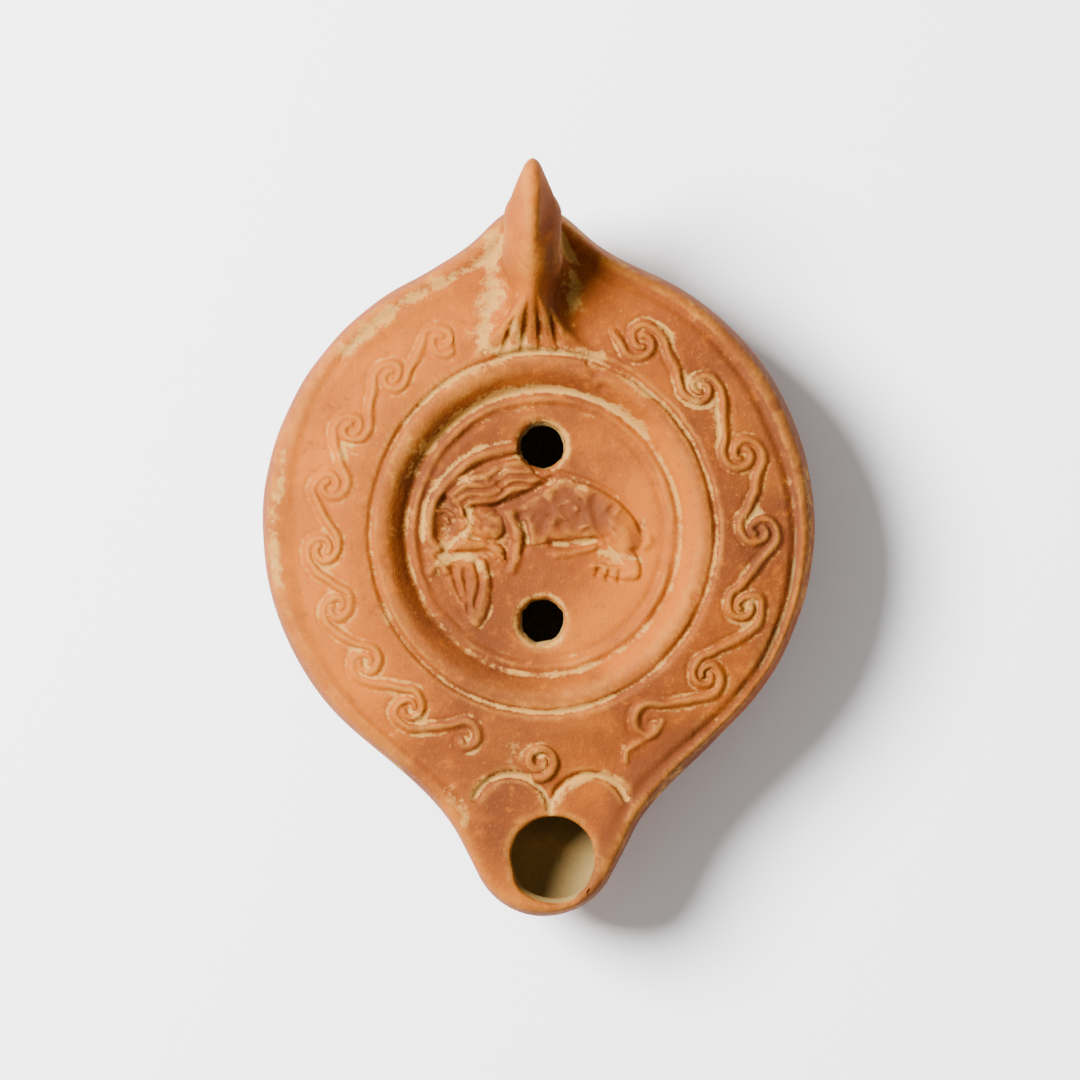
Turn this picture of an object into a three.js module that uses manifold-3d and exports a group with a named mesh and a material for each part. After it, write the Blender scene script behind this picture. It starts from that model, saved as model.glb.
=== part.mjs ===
// A Roman oil lamp of fired clay, made in a two-part mould: a round, hollow body with a sunk disc,
// a heart-shaped nozzle, a pierced handle and low relief on its top.
//
// Lengths are in millimetres. Z = 0 is the flat base, X = Y = 0 is the centre of the base and of the
// disc above it, +Y runs to the handle and -Y to the nozzle.
import * as THREE from 'three';
import { mergeVertices } from 'three/addons/utils/BufferGeometryUtils.js';
import Module from 'manifold-3d';

const wasm = await Module();
wasm.setup();

// Body: a round bowl and its gently sloping shoulder.
const BODY_RADIUS = 44;
const BODY_SHIFT = 1.5; // centre of the body's circle, from the disc's centre towards the handle
const BODY_SIDE_SHIFT = -0.4; // of the same centre, along X
const WIDEST_HEIGHT = 16; // where the two halves of the mould met
const SHOULDER_HEIGHT = 27.5; // at the disc's rim, the highest line of the body
const SHOULDER_FALL = 1.9; // from the disc's rim to the shoulder's edge
const NOZZLE_FALL = 0.055; // per millimetre beyond the shoulder
const RIM_ROUNDING = 2.2; // how far the edge rounds in above the widest line
const BOWL_FULLNESS = 0.62; // exponent of the bowl's curve, smaller for a fuller bowl
const NOZZLE_FULLNESS = 0.78;
const GROOVE_INSET = 3.4; // shoulder's border groove, from the body's outline
const GROOVE_HALF_WIDTH = 0.9;
const GROOVE_DEPTH = 0.7;
const BASE_RADIUS = 20;
const BASE_STEP = 1; // height of the flat base disc under the bowl
const BASE_GROOVE_RADIUS = 16.5;
const BASE_GROOVE_HALF_WIDTH = 0.8;
const BASE_GROOVE_DEPTH = 0.7;
const WALL = 3; // of the bowl and the shoulder
const FLOOR = 3.4; // thickness over the base

// Disc: sunk inside a rounded ring, with a groove on either side of it.
const DISC_RIM_RADIUS = 28.2;
const RIM_GROOVE_WIDTH = 1.7; // between the shoulder and the ring
const RIM_GROOVE_DEPTH = 0.7;
const RING_WIDTH = 4.4;
const RING_RISE = 0.1; // crest of the ring over the shoulder
const INNER_GROOVE_DEPTH = 2.9; // foot of the ring, under the shoulder
const FILLET_WIDTH = 2.1; // thin ring inside the groove
const FILLET_RISE = 0.7;
const DISC_DEPTH = 3.3; // edge of the disc's floor, under the shoulder
const DISC_SAG = 0.6; // centre of the floor, under its edge
const DISC_WALL = 2.6;

// Nozzle, seen from above: a round tip and sides that open towards the body.
const NOZZLE_TIP_RADIUS = 11.8;
const NOZZLE_REACH = 60.7; // from the disc's centre to the tip
const NOZZLE_SHIFT = 0.6; // of the tip, to +X
const NOZZLE_START = 30; // from the disc's centre
const NOZZLE_OPENING = 27; // degrees between each side and the axis
const NOZZLE_BLEND = 7.6; // softens the corner between the nozzle and the body
const WICK_RADIUS = 6.6;
const WICK_FROM_TIP = 9.5; // centre of the wick hole, from the nozzle's tip
const WICK_SHIFT = 1.9;
const CHANNEL_HALF_HEIGHT = 4.8;
const CHANNEL_WALL = 2.7; // between the channel and the nozzle's tip
const CHANNEL_HEIGHT = 16; // axis of the channel inside the nozzle

// Heart on the nozzle's top: two lobes outlined by a groove.
const LOBE_WIDTH = 11.9;
const LOBE_HEIGHT = 5.2;
const LOBE_GROOVE_HALF_WIDTH = 0.75;
const LOBE_GROOVE_DEPTH = 0.6;
const HEART_CUSP_SHIFT = 1.2;
const HEART_CUSP_FROM_WICK = 7.3;

// Filling holes in the disc.
const FILL_HOLE_RADIUS = 3.5;
const FILL_HOLE_SPREAD = 13.7; // each centre, from the disc's centre

// Handle: an upright fin on the back of the body, pierced across.
const HANDLE_SHIFT = -1.5;
const HANDLE_TOP = 46;
const HANDLE_REACH = 59.3; // from the disc's centre to its back
const HANDLE_ROOT_HEIGHT = 13; // where its lower edge enters the bowl
const HANDLE_EYE_RADIUS = 3.3;
const HANDLE_EYE_FROM_BACK = 12.1;
const HANDLE_EYE_FROM_TOP = 13;
const HANDLE_EDGE_HALF_WIDTH = 2.1;
const HANDLE_EYE_HALF_WIDTH = 4.9;
const HANDLE_FOOT_HALF_WIDTH = 7.4;
const HANDLE_FOOT_LENGTH = 11; // over which it widens to its front foot
const HANDLE_FLUTES = 4; // short grooves fanning out over its front foot
const FLUTE_HALF_WIDTH = 0.9;
const FLUTE_DEPTH = 0.8;
const FLUTE_PITCH = 2.6;
const FLARE_HALF_WIDTH = 3; // of the body's outline where it is drawn out into the handle
const FLARE_REACH = 50.5;
const FLARE_BLEND = 16.8;

// Scrolls on the shoulder: a chain of S-shaped ridges on each side.
const SCROLL_BAND_RADIUS = 34.4;
const SCROLL_HOOK_RADIUS = 2.3;
const SCROLL_EYE_RADIUS = 0.95;
const SCROLL_HOOK_TURN = 250; // degrees
const SCROLL_HALF_WIDTH = 0.85;
const SCROLL_HEIGHT = 0.6;
const LEFT_SCROLLS = { count: 9, first: 116.8, pitch: 16.6, way: 1 };
const RIGHT_SCROLLS = { count: 7, first: 62.5, pitch: 20.5, way: -1 };
const SPIRAL_RADIUS = 3; // of the small spiral over the heart
const SPIRAL_EYE_RADIUS = 0.9;
const SPIRAL_TURN = 480; // degrees
const SPIRAL_GAP = 0.1; // between the heart's lobes and the spiral
const SPIRAL_SHIFT = -0.6;

// Relief on the disc.
const FIGURE_LENGTH = 31;
const FIGURE_HEIGHT = 1.3; // of its highest parts over the floor

// Fineness of the facets.
const COARSE_STEP = 7.5; // degrees
const FINE_STEP = 3.75;
const SINK = 0.3; // how far raised work is bedded in the surface under it

const degrees = Math.PI / 180;
const smooth = (from, to, value) => THREE.MathUtils.smoothstep(value, from, to);

/** Joins two signed distances with a rounded inner corner. */
function softUnion(a, b, blend) {
  const share = Math.max(blend - Math.abs(a - b), 0) / blend;
  return Math.min(a, b) - (share * share * blend) / 4;
}

/** Signed distance to the nozzle's plan: a round tip whose tangents open towards the body. */
function nozzleDistance(x, y) {
  const opening = NOZZLE_OPENING * degrees;
  const across = Math.abs(x - NOZZLE_SHIFT);
  const along = y + NOZZLE_REACH - NOZZLE_TIP_RADIUS;
  const beforeTangent = along * Math.cos(opening) + across * Math.sin(opening) < 0;
  if (beforeTangent) return Math.hypot(across, along) - NOZZLE_TIP_RADIUS;
  const side = across * Math.cos(opening) - along * Math.sin(opening) - NOZZLE_TIP_RADIUS;
  return Math.max(side, y + NOZZLE_START);
}

/** Signed distance to the tongue of the body that is drawn out into the handle. */
function flareDistance(x, y) {
  const across = Math.abs(x - HANDLE_SHIFT);
  const end = FLARE_REACH - FLARE_HALF_WIDTH;
  return Math.hypot(across, Math.max(y - end, Math.min(y, 0))) - FLARE_HALF_WIDTH;
}

/** Signed distance to the body's outline, seen from above. */
function planDistance(x, y) {
  const body = Math.hypot(x - BODY_SIDE_SHIFT, y - BODY_SHIFT) - BODY_RADIUS;
  const drawnOut = softUnion(body, flareDistance(x, y), FLARE_BLEND);
  return softUnion(drawnOut, nozzleDistance(x, y), NOZZLE_BLEND);
}

/** Distance from the disc's centre to the body's outline, in a direction given in radians. */
function planRadius(angle) {
  let inside = DISC_RIM_RADIUS;
  let outside = 2 * Math.max(NOZZLE_REACH, HANDLE_REACH, BODY_RADIUS);
  for (let halving = 0; halving < 30; halving += 1) {
    const middle = (inside + outside) / 2;
    if (planDistance(middle * Math.cos(angle), middle * Math.sin(angle)) < 0) inside = middle;
    else outside = middle;
  }
  return inside;
}

/** Height of the plain shoulder and of the nozzle's top. */
function shoulderHeight(radius) {
  const edge = BODY_RADIUS - GROOVE_INSET;
  const beyond = Math.max(radius - edge, 0);
  return SHOULDER_HEIGHT - SHOULDER_FALL * smooth(DISC_RIM_RADIUS, edge, radius) - NOZZLE_FALL * beyond;
}

/** Height of the disc's floor, which sags to its centre. */
function discHeight(radius) {
  const share = Math.min(radius / discFloorRadius(), 1);
  return SHOULDER_HEIGHT - DISC_DEPTH - DISC_SAG * (1 - share * share);
}

function ringFootRadius() {
  return DISC_RIM_RADIUS - RIM_GROOVE_WIDTH - RING_WIDTH;
}

function discFloorRadius() {
  return ringFootRadius() - FILLET_WIDTH;
}

/** A closed solid from rings of points about the Z axis, the first and last ring being single points. */
function loft(rings) {
  const positions = [];
  const faces = [];
  const starts = rings.map((ring) => {
    const start = positions.length / 3;
    for (const point of ring) positions.push(...point);
    return start;
  });
  for (let level = 0; level + 1 < rings.length; level += 1) {
    const count = Math.max(rings[level].length, rings[level + 1].length);
    const upper = (k) => starts[level] + (rings[level].length > 1 ? k % count : 0);
    const lower = (k) => starts[level + 1] + (rings[level + 1].length > 1 ? k % count : 0);
    for (let k = 0; k < count; k += 1) {
      if (rings[level + 1].length > 1) faces.push(upper(k), lower(k), lower(k + 1));
      if (rings[level].length > 1) faces.push(upper(k), lower(k + 1), upper(k + 1));
    }
  }
  return new wasm.Manifold(new wasm.Mesh({
    numProp: 3,
    vertProperties: new Float32Array(positions),
    triVerts: new Uint32Array(faces),
  }));
}

/** A three.js geometry as a solid, placed by a matrix. */
function solidFrom(geometry, matrix = new THREE.Matrix4()) {
  const bare = geometry.index ? geometry.toNonIndexed() : geometry.clone();
  bare.deleteAttribute('normal');
  bare.deleteAttribute('uv');
  bare.applyMatrix4(matrix);
  const merged = mergeVertices(bare, 1e-5);
  return new wasm.Manifold(new wasm.Mesh({
    numProp: 3,
    vertProperties: new Float32Array(merged.attributes.position.array),
    triVerts: new Uint32Array(merged.index.array),
  }));
}

/** Directions of the facets: finer round the nozzle and the handle. */
function facetAngles() {
  const angles = [];
  const fine = (angle) => Math.abs(angle - 270) < 24 || Math.abs(angle - 90) < 12;
  for (let angle = 0; angle < 360; angle += fine(angle) ? FINE_STEP : COARSE_STEP) {
    angles.push(angle * degrees);
  }
  return angles;
}

/** One ring of the body: a radius and a height for each direction. */
function ringOf(angles, place) {
  return angles.map((angle) => {
    const [radius, height] = place(planRadius(angle), angle);
    return [radius * Math.cos(angle), radius * Math.sin(angle), height];
  });
}

/** Stations of the disc, its ring and its grooves, from the centre outwards, as [radius, height]. */
function discStations() {
  const foot = ringFootRadius();
  const groove = DISC_RIM_RADIUS - RIM_GROOVE_WIDTH / 2;
  const crest = foot + 0.62 * RING_WIDTH;
  const top = SHOULDER_HEIGHT;
  return [
    [discFloorRadius() / 2, discHeight(discFloorRadius() / 2)],
    [discFloorRadius(), discHeight(discFloorRadius())],
    [foot - FILLET_WIDTH * 0.55, top - DISC_DEPTH + FILLET_RISE],
    [foot, top - INNER_GROOVE_DEPTH],
    [foot + 0.28 * RING_WIDTH, top - 0.4 * INNER_GROOVE_DEPTH],
    [crest, top + RING_RISE],
    [DISC_RIM_RADIUS - RIM_GROOVE_WIDTH, top - 0.3 * RIM_GROOVE_DEPTH],
    [groove, top - RIM_GROOVE_DEPTH],
    [DISC_RIM_RADIUS, top],
  ];
}

/** The bowl, shoulder, disc and nozzle as one solid, before it is hollowed. */
function outerBody() {
  const angles = facetAngles();
  const rings = [[[0, 0, discHeight(0)]]];
  for (const station of discStations()) rings.push(ringOf(angles, () => station));
  const shoulderEdge = BODY_RADIUS - GROOVE_INSET - GROOVE_HALF_WIDTH;
  for (const share of [1 / 3, 2 / 3]) {
    const radius = THREE.MathUtils.lerp(DISC_RIM_RADIUS, shoulderEdge, share);
    rings.push(ringOf(angles, () => [radius, shoulderHeight(radius)]));
  }
  rings.push(ringOf(angles, (reach) => {
    const radius = reach - GROOVE_INSET - GROOVE_HALF_WIDTH;
    return [radius, shoulderHeight(radius)];
  }));
  rings.push(ringOf(angles, (reach, angle) => {
    const onNozzle = smooth(BODY_RADIUS + 1, BODY_RADIUS + 6, reach) * (Math.sin(angle) < 0 ? 1 : 0);
    const radius = reach - GROOVE_INSET;
    return [radius, shoulderHeight(radius) - GROOVE_DEPTH * (1 - onNozzle)];
  }));
  for (const turn of [90, 66, 42, 20, 0]) {
    rings.push(ringOf(angles, (reach) => {
      const edge = shoulderHeight(reach - RIM_ROUNDING);
      const rise = (edge - WIDEST_HEIGHT) * Math.sin(turn * degrees);
      return [reach - RIM_ROUNDING * (1 - Math.cos(turn * degrees)), WIDEST_HEIGHT + rise];
    }));
  }
  for (const drop of [0.25, 0.48, 0.68, 0.84, 0.95, 1]) {
    rings.push(ringOf(angles, (reach, angle) => {
      // The flare under the handle dies away down the bowl; the nozzle's keel runs to the foot.
      const kept = Math.sin(angle) > 0 ? 1 - smooth(0, 0.6, drop) : 1;
      const drawnIn = THREE.MathUtils.lerp(Math.min(reach, BODY_RADIUS), reach, kept);
      return bowlStation(drawnIn, BASE_RADIUS, BASE_STEP, drop);
    }));
  }
  const grooveOuter = BASE_GROOVE_RADIUS + BASE_GROOVE_HALF_WIDTH;
  const grooveInner = BASE_GROOVE_RADIUS - BASE_GROOVE_HALF_WIDTH;
  rings.push(ringOf(angles, () => [BASE_RADIUS - 0.3, 0]));
  rings.push(ringOf(angles, () => [grooveOuter, 0]));
  rings.push(ringOf(angles, () => [BASE_GROOVE_RADIUS, BASE_GROOVE_DEPTH]));
  rings.push(ringOf(angles, () => [grooveInner, 0]));
  rings.push([[0, 0, 0]]);
  return loft(rings);
}

/** A point of the bowl's curve: drop 0 is the widest line and drop 1 the foot. */
function bowlStation(reach, footRadius, footHeight, drop) {
  const onNozzle = smooth(BODY_RADIUS, NOZZLE_REACH, reach);
  const fullness = THREE.MathUtils.lerp(BOWL_FULLNESS, NOZZLE_FULLNESS, onNozzle);
  const spread = Math.pow(1 - Math.pow(drop, 2.2), fullness);
  return [
    footRadius + (reach - footRadius) * spread,
    WIDEST_HEIGHT - (WIDEST_HEIGHT - footHeight) * drop,
  ];
}

/** The hollow of the bowl, a wall's thickness inside it. */
function reservoir() {
  const angles = [];
  for (let angle = 0; angle < 360; angle += 2 * COARSE_STEP) angles.push(angle * degrees);
  const circle = (radius, height) => angles.map((angle) => [
    radius * Math.cos(angle), radius * Math.sin(angle) + BODY_SHIFT, height]);
  const discCeiling = SHOULDER_HEIGHT - DISC_DEPTH - DISC_SAG - DISC_WALL;
  const reach = BODY_RADIUS - WALL;
  const middle = (DISC_RIM_RADIUS + reach) / 2;
  const rings = [
    [[0, BODY_SHIFT, discCeiling]],
    circle(ringFootRadius() - BODY_SHIFT, discCeiling),
    circle(DISC_RIM_RADIUS, shoulderHeight(DISC_RIM_RADIUS) - RIM_GROOVE_DEPTH - WALL),
    circle(middle, shoulderHeight(middle) - WALL),
    circle(reach - RIM_ROUNDING, shoulderHeight(reach) - GROOVE_DEPTH - 1.5 * WALL),
    circle(reach, WIDEST_HEIGHT),
  ];
  for (const drop of [0.4, 0.7, 0.92]) {
    const [radius, height] = bowlStation(reach, BASE_RADIUS - WALL, FLOOR, drop);
    rings.push(circle(radius, height));
  }
  rings.push(circle(BASE_RADIUS - WALL, FLOOR), [[0, BODY_SHIFT, FLOOR]]);
  return loft(rings);
}

function wickCentre() {
  return [WICK_SHIFT, WICK_FROM_TIP - NOZZLE_REACH];
}

/** The channel inside the nozzle, from under the wick hole into the reservoir. */
function nozzleChannel() {
  const [x, y] = wickCentre();
  const front = WICK_FROM_TIP - CHANNEL_WALL;
  const side = WICK_RADIUS + 0.8;
  const run = -y - BASE_RADIUS;
  const profile = [[0, -front]];
  for (const turn of [30, 60]) {
    profile.push([side * Math.sin(turn * degrees), -front * Math.cos(turn * degrees)]);
  }
  profile.push([side, 0], [1.35 * side, 0.5 * run], [1.35 * side, run], [0, run]);
  const turned = new THREE.LatheGeometry(profile.map(([r, h]) => new THREE.Vector2(r, h)), 20);
  const place = new THREE.Matrix4().makeTranslation(x, y, CHANNEL_HEIGHT);
  place.scale(new THREE.Vector3(1, 1, CHANNEL_HALF_HEIGHT / side));
  return solidFrom(turned, place);
}

/** An upright drill from one height to another. */
function drill(radius, x, y, from, to, sides) {
  const cylinder = new THREE.CylinderGeometry(radius, radius, to - from, sides);
  const place = new THREE.Matrix4().makeTranslation(x, y, (from + to) / 2);
  place.multiply(new THREE.Matrix4().makeRotationX(Math.PI / 2));
  return solidFrom(cylinder, place);
}

/** Side view of the handle, as [Y, Z] from its front foot over the top and round the back. */
function handleOutline() {
  const foot = DISC_RIM_RADIUS + 0.7;
  const run = HANDLE_REACH - foot;
  const low = shoulderHeight(foot) - WALL;
  const rise = HANDLE_TOP - low;
  const drop = HANDLE_TOP - HANDLE_ROOT_HEIGHT;
  const back = (y, z) => [HANDLE_REACH - y * run, HANDLE_TOP - z * drop];
  const front = (y, z) => [foot + y * run, low + z * rise];
  return [
    front(0, 0.06), front(0.14, 0.3), front(0.34, 0.6), front(0.56, 0.84), front(0.76, 0.98),
    back(0.1, 0.01), back(0.005, 0.11), back(0.01, 0.25), back(0.11, 0.44), back(0.25, 0.67),
    back(0.42, 0.9), back(0.62, 0.96), back(0.78, 0.82), back(0.9, 0.7),
  ];
}

/** The handle: sections all round its eye, thin at the outer edge and thick at the eye. */
function handle() {
  const corners = handleOutline().map(([y, z]) => new THREE.Vector3(0, y, z));
  const edge = new THREE.CatmullRomCurve3(corners, true, 'centripetal').getPoints(32).slice(0, -1);
  const eye = new THREE.Vector3(0, HANDLE_REACH - HANDLE_EYE_FROM_BACK, HANDLE_TOP - HANDLE_EYE_FROM_TOP);
  const foot = DISC_RIM_RADIUS;
  const positions = [];
  // Each section runs from the outer edge along one side to the eye, and back along the other.
  const side = [[0, 0.35], [0.04, 0.8], [0.14, 1], [0.55, 1], [0.95, 1], [1, 0.8]];
  for (const outer of edge) {
    const spoke = eye.clone().sub(outer);
    const inner = spoke.length() - HANDLE_EYE_RADIUS;
    spoke.normalize();
    const place = ([share, width], sign) => {
      const at = outer.clone().addScaledVector(spoke, share * inner);
      const fin = THREE.MathUtils.lerp(HANDLE_EDGE_HALF_WIDTH, HANDLE_EYE_HALF_WIDTH, share);
      const onFin = smooth(foot, foot + HANDLE_FOOT_LENGTH, at.y);
      const half = width * THREE.MathUtils.lerp(HANDLE_FOOT_HALF_WIDTH, fin, onFin);
      positions.push(HANDLE_SHIFT + sign * half, at.y, at.z);
    };
    for (const step of side) place(step, 1);
    for (const step of [...side].reverse()) place(step, -1);
  }
  const around = 2 * side.length;
  const faces = [];
  for (let k = 0; k < edge.length; k += 1) {
    for (let j = 0; j < around; j += 1) {
      const a = k * around + j;
      const b = k * around + ((j + 1) % around);
      const c = ((k + 1) % edge.length) * around + j;
      const d = ((k + 1) % edge.length) * around + ((j + 1) % around);
      faces.push(a, b, d, a, d, c);
    }
  }
  return new wasm.Manifold(new wasm.Mesh({
    numProp: 3,
    vertProperties: new Float32Array(positions),
    triVerts: new Uint32Array(faces),
  }));
}

/**
 * A ridge of triangular section along a path on a surface. With a negative height it is the cutter
 * for a groove.
 */
function ridge(path, halfWidth, height, surface) {
  const positions = [];
  const deep = height > 0 ? -SINK : SINK;
  path.forEach(([x, y], k) => {
    const before = path[Math.max(k - 1, 0)];
    const after = path[Math.min(k + 1, path.length - 1)];
    const length = Math.hypot(after[0] - before[0], after[1] - before[1]);
    const across = [-(after[1] - before[1]) / length, (after[0] - before[0]) / length];
    const ends = k === 0 || k === path.length - 1 ? 0.5 : 1;
    const reach = halfWidth * ends * (1 + SINK / Math.abs(height));
    // Which way the path bends, and how sharply, limits the foot on the inner side of the bend.
    const bow = [(before[0] + after[0]) / 2 - x, (before[1] + after[1]) / 2 - y];
    const inward = bow[0] * across[0] + bow[1] * across[1];
    const bendRadius = (length * length) / (8 * Math.max(Math.abs(inward), 1e-6));
    for (const side of [-1, 1]) {
      const limit = side * inward > 0 ? 0.7 * bendRadius : reach;
      const out = side * Math.min(reach, limit);
      const foot = [x + out * across[0], y + out * across[1]];
      positions.push(...foot, surface(...foot) + deep);
    }
    positions.push(x, y, surface(x, y) + height * ends);
  });
  const faces = [];
  const last = 3 * (path.length - 1);
  for (let k = 0; k < last; k += 3) {
    for (let j = 0; j < 3; j += 1) {
      const next = (j + 1) % 3;
      faces.push(k + j, k + next + 3, k + next, k + j, k + j + 3, k + next + 3);
    }
  }
  faces.push(0, 1, 2, last, last + 2, last + 1);
  // A groove's cutter is upside down, so its faces already point outwards.
  if (height > 0) faces.reverse();
  return new wasm.Manifold(new wasm.Mesh({
    numProp: 3,
    vertProperties: new Float32Array(positions),
    triVerts: new Uint32Array(faces),
  }));
}

const onShoulder = (x, y) => shoulderHeight(Math.hypot(x, y));
const onDisc = (x, y) => discHeight(Math.hypot(x, y));

/** One S-shaped scroll of the chain, ending in a hook at the given angle. */
function scrollPath(endAngle, pitch, way) {
  const run = SCROLL_BAND_RADIUS * pitch * degrees;
  const lean = Math.asin((2 * SCROLL_HOOK_RADIUS) / run);
  const hook = [];
  const steps = 5;
  for (let k = 0; k <= steps; k += 1) {
    const turn = -Math.PI / 2 - lean + (k / steps) * SCROLL_HOOK_TURN * degrees;
    const radius = THREE.MathUtils.lerp(SCROLL_HOOK_RADIUS, SCROLL_EYE_RADIUS, k / steps);
    hook.push([radius * Math.cos(turn), radius * Math.sin(turn)]);
  }
  const start = hook.map(([along, out]) => [-run - along, -out]).reverse();
  return [...start, [-run / 2, 0], ...hook].map(([along, out]) => {
    const angle = endAngle * degrees + (way * along) / SCROLL_BAND_RADIUS;
    const radius = SCROLL_BAND_RADIUS + out;
    return [radius * Math.cos(angle), radius * Math.sin(angle)];
  });
}

/** Cutters for the flutes on the handle's front foot, deepest at the foot. */
function handleFlutes() {
  const front = handleOutline().slice(0, 3);
  const height = (x, y) => {
    const k = y < front[1][0] ? 0 : 1;
    const share = (y - front[k][0]) / (front[k + 1][0] - front[k][0]);
    return THREE.MathUtils.lerp(front[k][1], front[k + 1][1], share);
  };
  return Array.from({ length: HANDLE_FLUTES }, (_, k) => {
    const place = (k - (HANDLE_FLUTES - 1) / 2) * FLUTE_PITCH;
    const path = [0.02, 0.5, 1, 1.5].map((share) => [
      HANDLE_SHIFT + place * (1 - 0.35 * share),
      THREE.MathUtils.lerp(front[0][0], front[1][0], share),
    ]);
    return ridge(path, FLUTE_HALF_WIDTH, -FLUTE_DEPTH, height);
  });
}

/** Every scroll ridge of the shoulder, and the small spiral over the heart. */
function scrolls() {
  const ridges = [];
  for (const { count, first, pitch, way } of [LEFT_SCROLLS, RIGHT_SCROLLS]) {
    for (let k = 0; k < count; k += 1) {
      const path = scrollPath(first + way * pitch * k, pitch, way);
      ridges.push(ridge(path, SCROLL_HALF_WIDTH, SCROLL_HEIGHT, onShoulder));
    }
  }
  const spiral = [];
  const steps = 14;
  const centreY = heartCusp() + LOBE_HEIGHT + SPIRAL_GAP + SPIRAL_RADIUS;
  for (let k = 0; k <= steps; k += 1) {
    const turn = -0.35 * Math.PI + (k / steps) * SPIRAL_TURN * degrees;
    const radius = THREE.MathUtils.lerp(SPIRAL_RADIUS, SPIRAL_EYE_RADIUS, k / steps);
    spiral.push([
      SPIRAL_SHIFT + radius * Math.cos(turn),
      centreY + radius * Math.sin(turn),
    ]);
  }
  ridges.push(ridge(spiral, SCROLL_HALF_WIDTH, SCROLL_HEIGHT, onShoulder));
  return ridges;
}

/** Where the heart's two lobes meet, along Y. */
function heartCusp() {
  return WICK_FROM_TIP - NOZZLE_REACH + HEART_CUSP_FROM_WICK;
}

/** Cutters for the groove round the two lobes of the heart. */
function lobeGrooves() {
  return [-1, 1].map((side) => {
    const path = [];
    for (let turn = 8; turn <= 180; turn += 21.5) {
      path.push([
        HEART_CUSP_SHIFT + side * (LOBE_WIDTH / 2) * (1 + Math.cos(turn * degrees)),
        heartCusp() + LOBE_HEIGHT * Math.sin(turn * degrees),
      ]);
    }
    return ridge(path, LOBE_GROOVE_HALF_WIDTH, -LOBE_GROOVE_DEPTH, onShoulder);
  });
}

/**
 * The beast over its prey. Each lump is a low dome: its centre, half length, half width, turn in
 * degrees and height, all but the turn as shares of the figure's own length and height.
 */
const FIGURE_LUMPS = [
  { part: 'trunk', x: 0.06, y: 0.1, long: 0.3, wide: 0.15, turn: -4, high: 0.75 },
  { part: 'haunch', x: 0.36, y: 0.05, long: 0.17, wide: 0.13, turn: -50, high: 1 },
  { part: 'mane', x: -0.22, y: 0.17, long: 0.24, wide: 0.13, turn: 24, high: 0.9 },
  { part: 'head', x: -0.38, y: 0.02, long: 0.13, wide: 0.1, turn: 62, high: 0.85 },
  { part: 'shoulder', x: -0.14, y: 0, long: 0.14, wide: 0.1, turn: 20, high: 0.9 },
  { part: 'near foreleg', x: -0.06, y: -0.1, long: 0.1, wide: 0.045, turn: -70, high: 0.8 },
  { part: 'far foreleg', x: -0.23, y: -0.11, long: 0.12, wide: 0.05, turn: 25, high: 0.8 },
  { part: 'thigh', x: 0.27, y: -0.06, long: 0.12, wide: 0.04, turn: 22, high: 0.55 },
  { part: 'hind shank', x: 0.36, y: -0.13, long: 0.11, wide: 0.045, turn: -24, high: 0.7 },
  { part: 'hind foot', x: 0.31, y: -0.19, long: 0.1, wide: 0.04, turn: -8, high: 0.6 },
  { part: 'prey brow', x: -0.37, y: -0.19, long: 0.12, wide: 0.06, turn: 8, high: 0.7 },
  { part: 'prey head', x: -0.33, y: -0.3, long: 0.15, wide: 0.085, turn: -66, high: 0.8 },
  { part: 'prey muzzle', x: -0.29, y: -0.42, long: 0.08, wide: 0.05, turn: -66, high: 0.6 },
];

/** Outlines of the figure as arcs: centre and radius as shares of its length, and angles. */
const FIGURE_ARCS = [
  { part: 'mane', x: -0.21, y: 0.11, radius: 0.35, from: 82, to: 205 },
  { part: 'back', x: 0.16, y: -0.06, radius: 0.38, from: 100, to: 12 },
];

function figureArcs() {
  return FIGURE_ARCS.map(({ x, y, radius, from, to }) => {
    const path = [];
    const steps = 6;
    for (let k = 0; k <= steps; k += 1) {
      const turn = THREE.MathUtils.lerp(from, to, k / steps) * degrees;
      path.push([
        FIGURE_LENGTH * (x + radius * Math.cos(turn)),
        FIGURE_LENGTH * (y + radius * Math.sin(turn)),
      ]);
    }
    return ridge(path, SCROLL_HALF_WIDTH, SCROLL_HEIGHT, onDisc);
  });
}

function figureLumps() {
  return FIGURE_LUMPS.map(({ x, y, long, wide, turn, high }) => {
    const at = [x * FIGURE_LENGTH, y * FIGURE_LENGTH];
    const depth = high * FIGURE_HEIGHT + SINK;
    const place = new THREE.Matrix4().makeTranslation(...at, onDisc(...at) - SINK);
    place.multiply(new THREE.Matrix4().makeRotationZ(turn * degrees));
    place.scale(new THREE.Vector3(long * FIGURE_LENGTH, wide * FIGURE_LENGTH, depth));
    const dome = new THREE.SphereGeometry(1, 10, 6);
    dome.applyMatrix4(new THREE.Matrix4().makeRotationX(Math.PI / 2));
    return solidFrom(dome, place);
  });
}

/** Everything that is cut away: the hollow inside, the holes and the grooves of the heart. */
function cutters() {
  const above = SHOULDER_HEIGHT + 5;
  const inside = SHOULDER_HEIGHT - DISC_DEPTH - DISC_SAG - DISC_WALL - 3;
  const [wickX, wickY] = wickCentre();
  return [
    reservoir(),
    nozzleChannel(),
    drill(WICK_RADIUS, wickX, wickY, CHANNEL_HEIGHT, above, 24),
    drill(FILL_HOLE_RADIUS, 0, FILL_HOLE_SPREAD, inside, above, 16),
    drill(FILL_HOLE_RADIUS, 0, -FILL_HOLE_SPREAD, inside, above, 16),
    ...lobeGrooves(),
    ...handleFlutes(),
  ];
}

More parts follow.
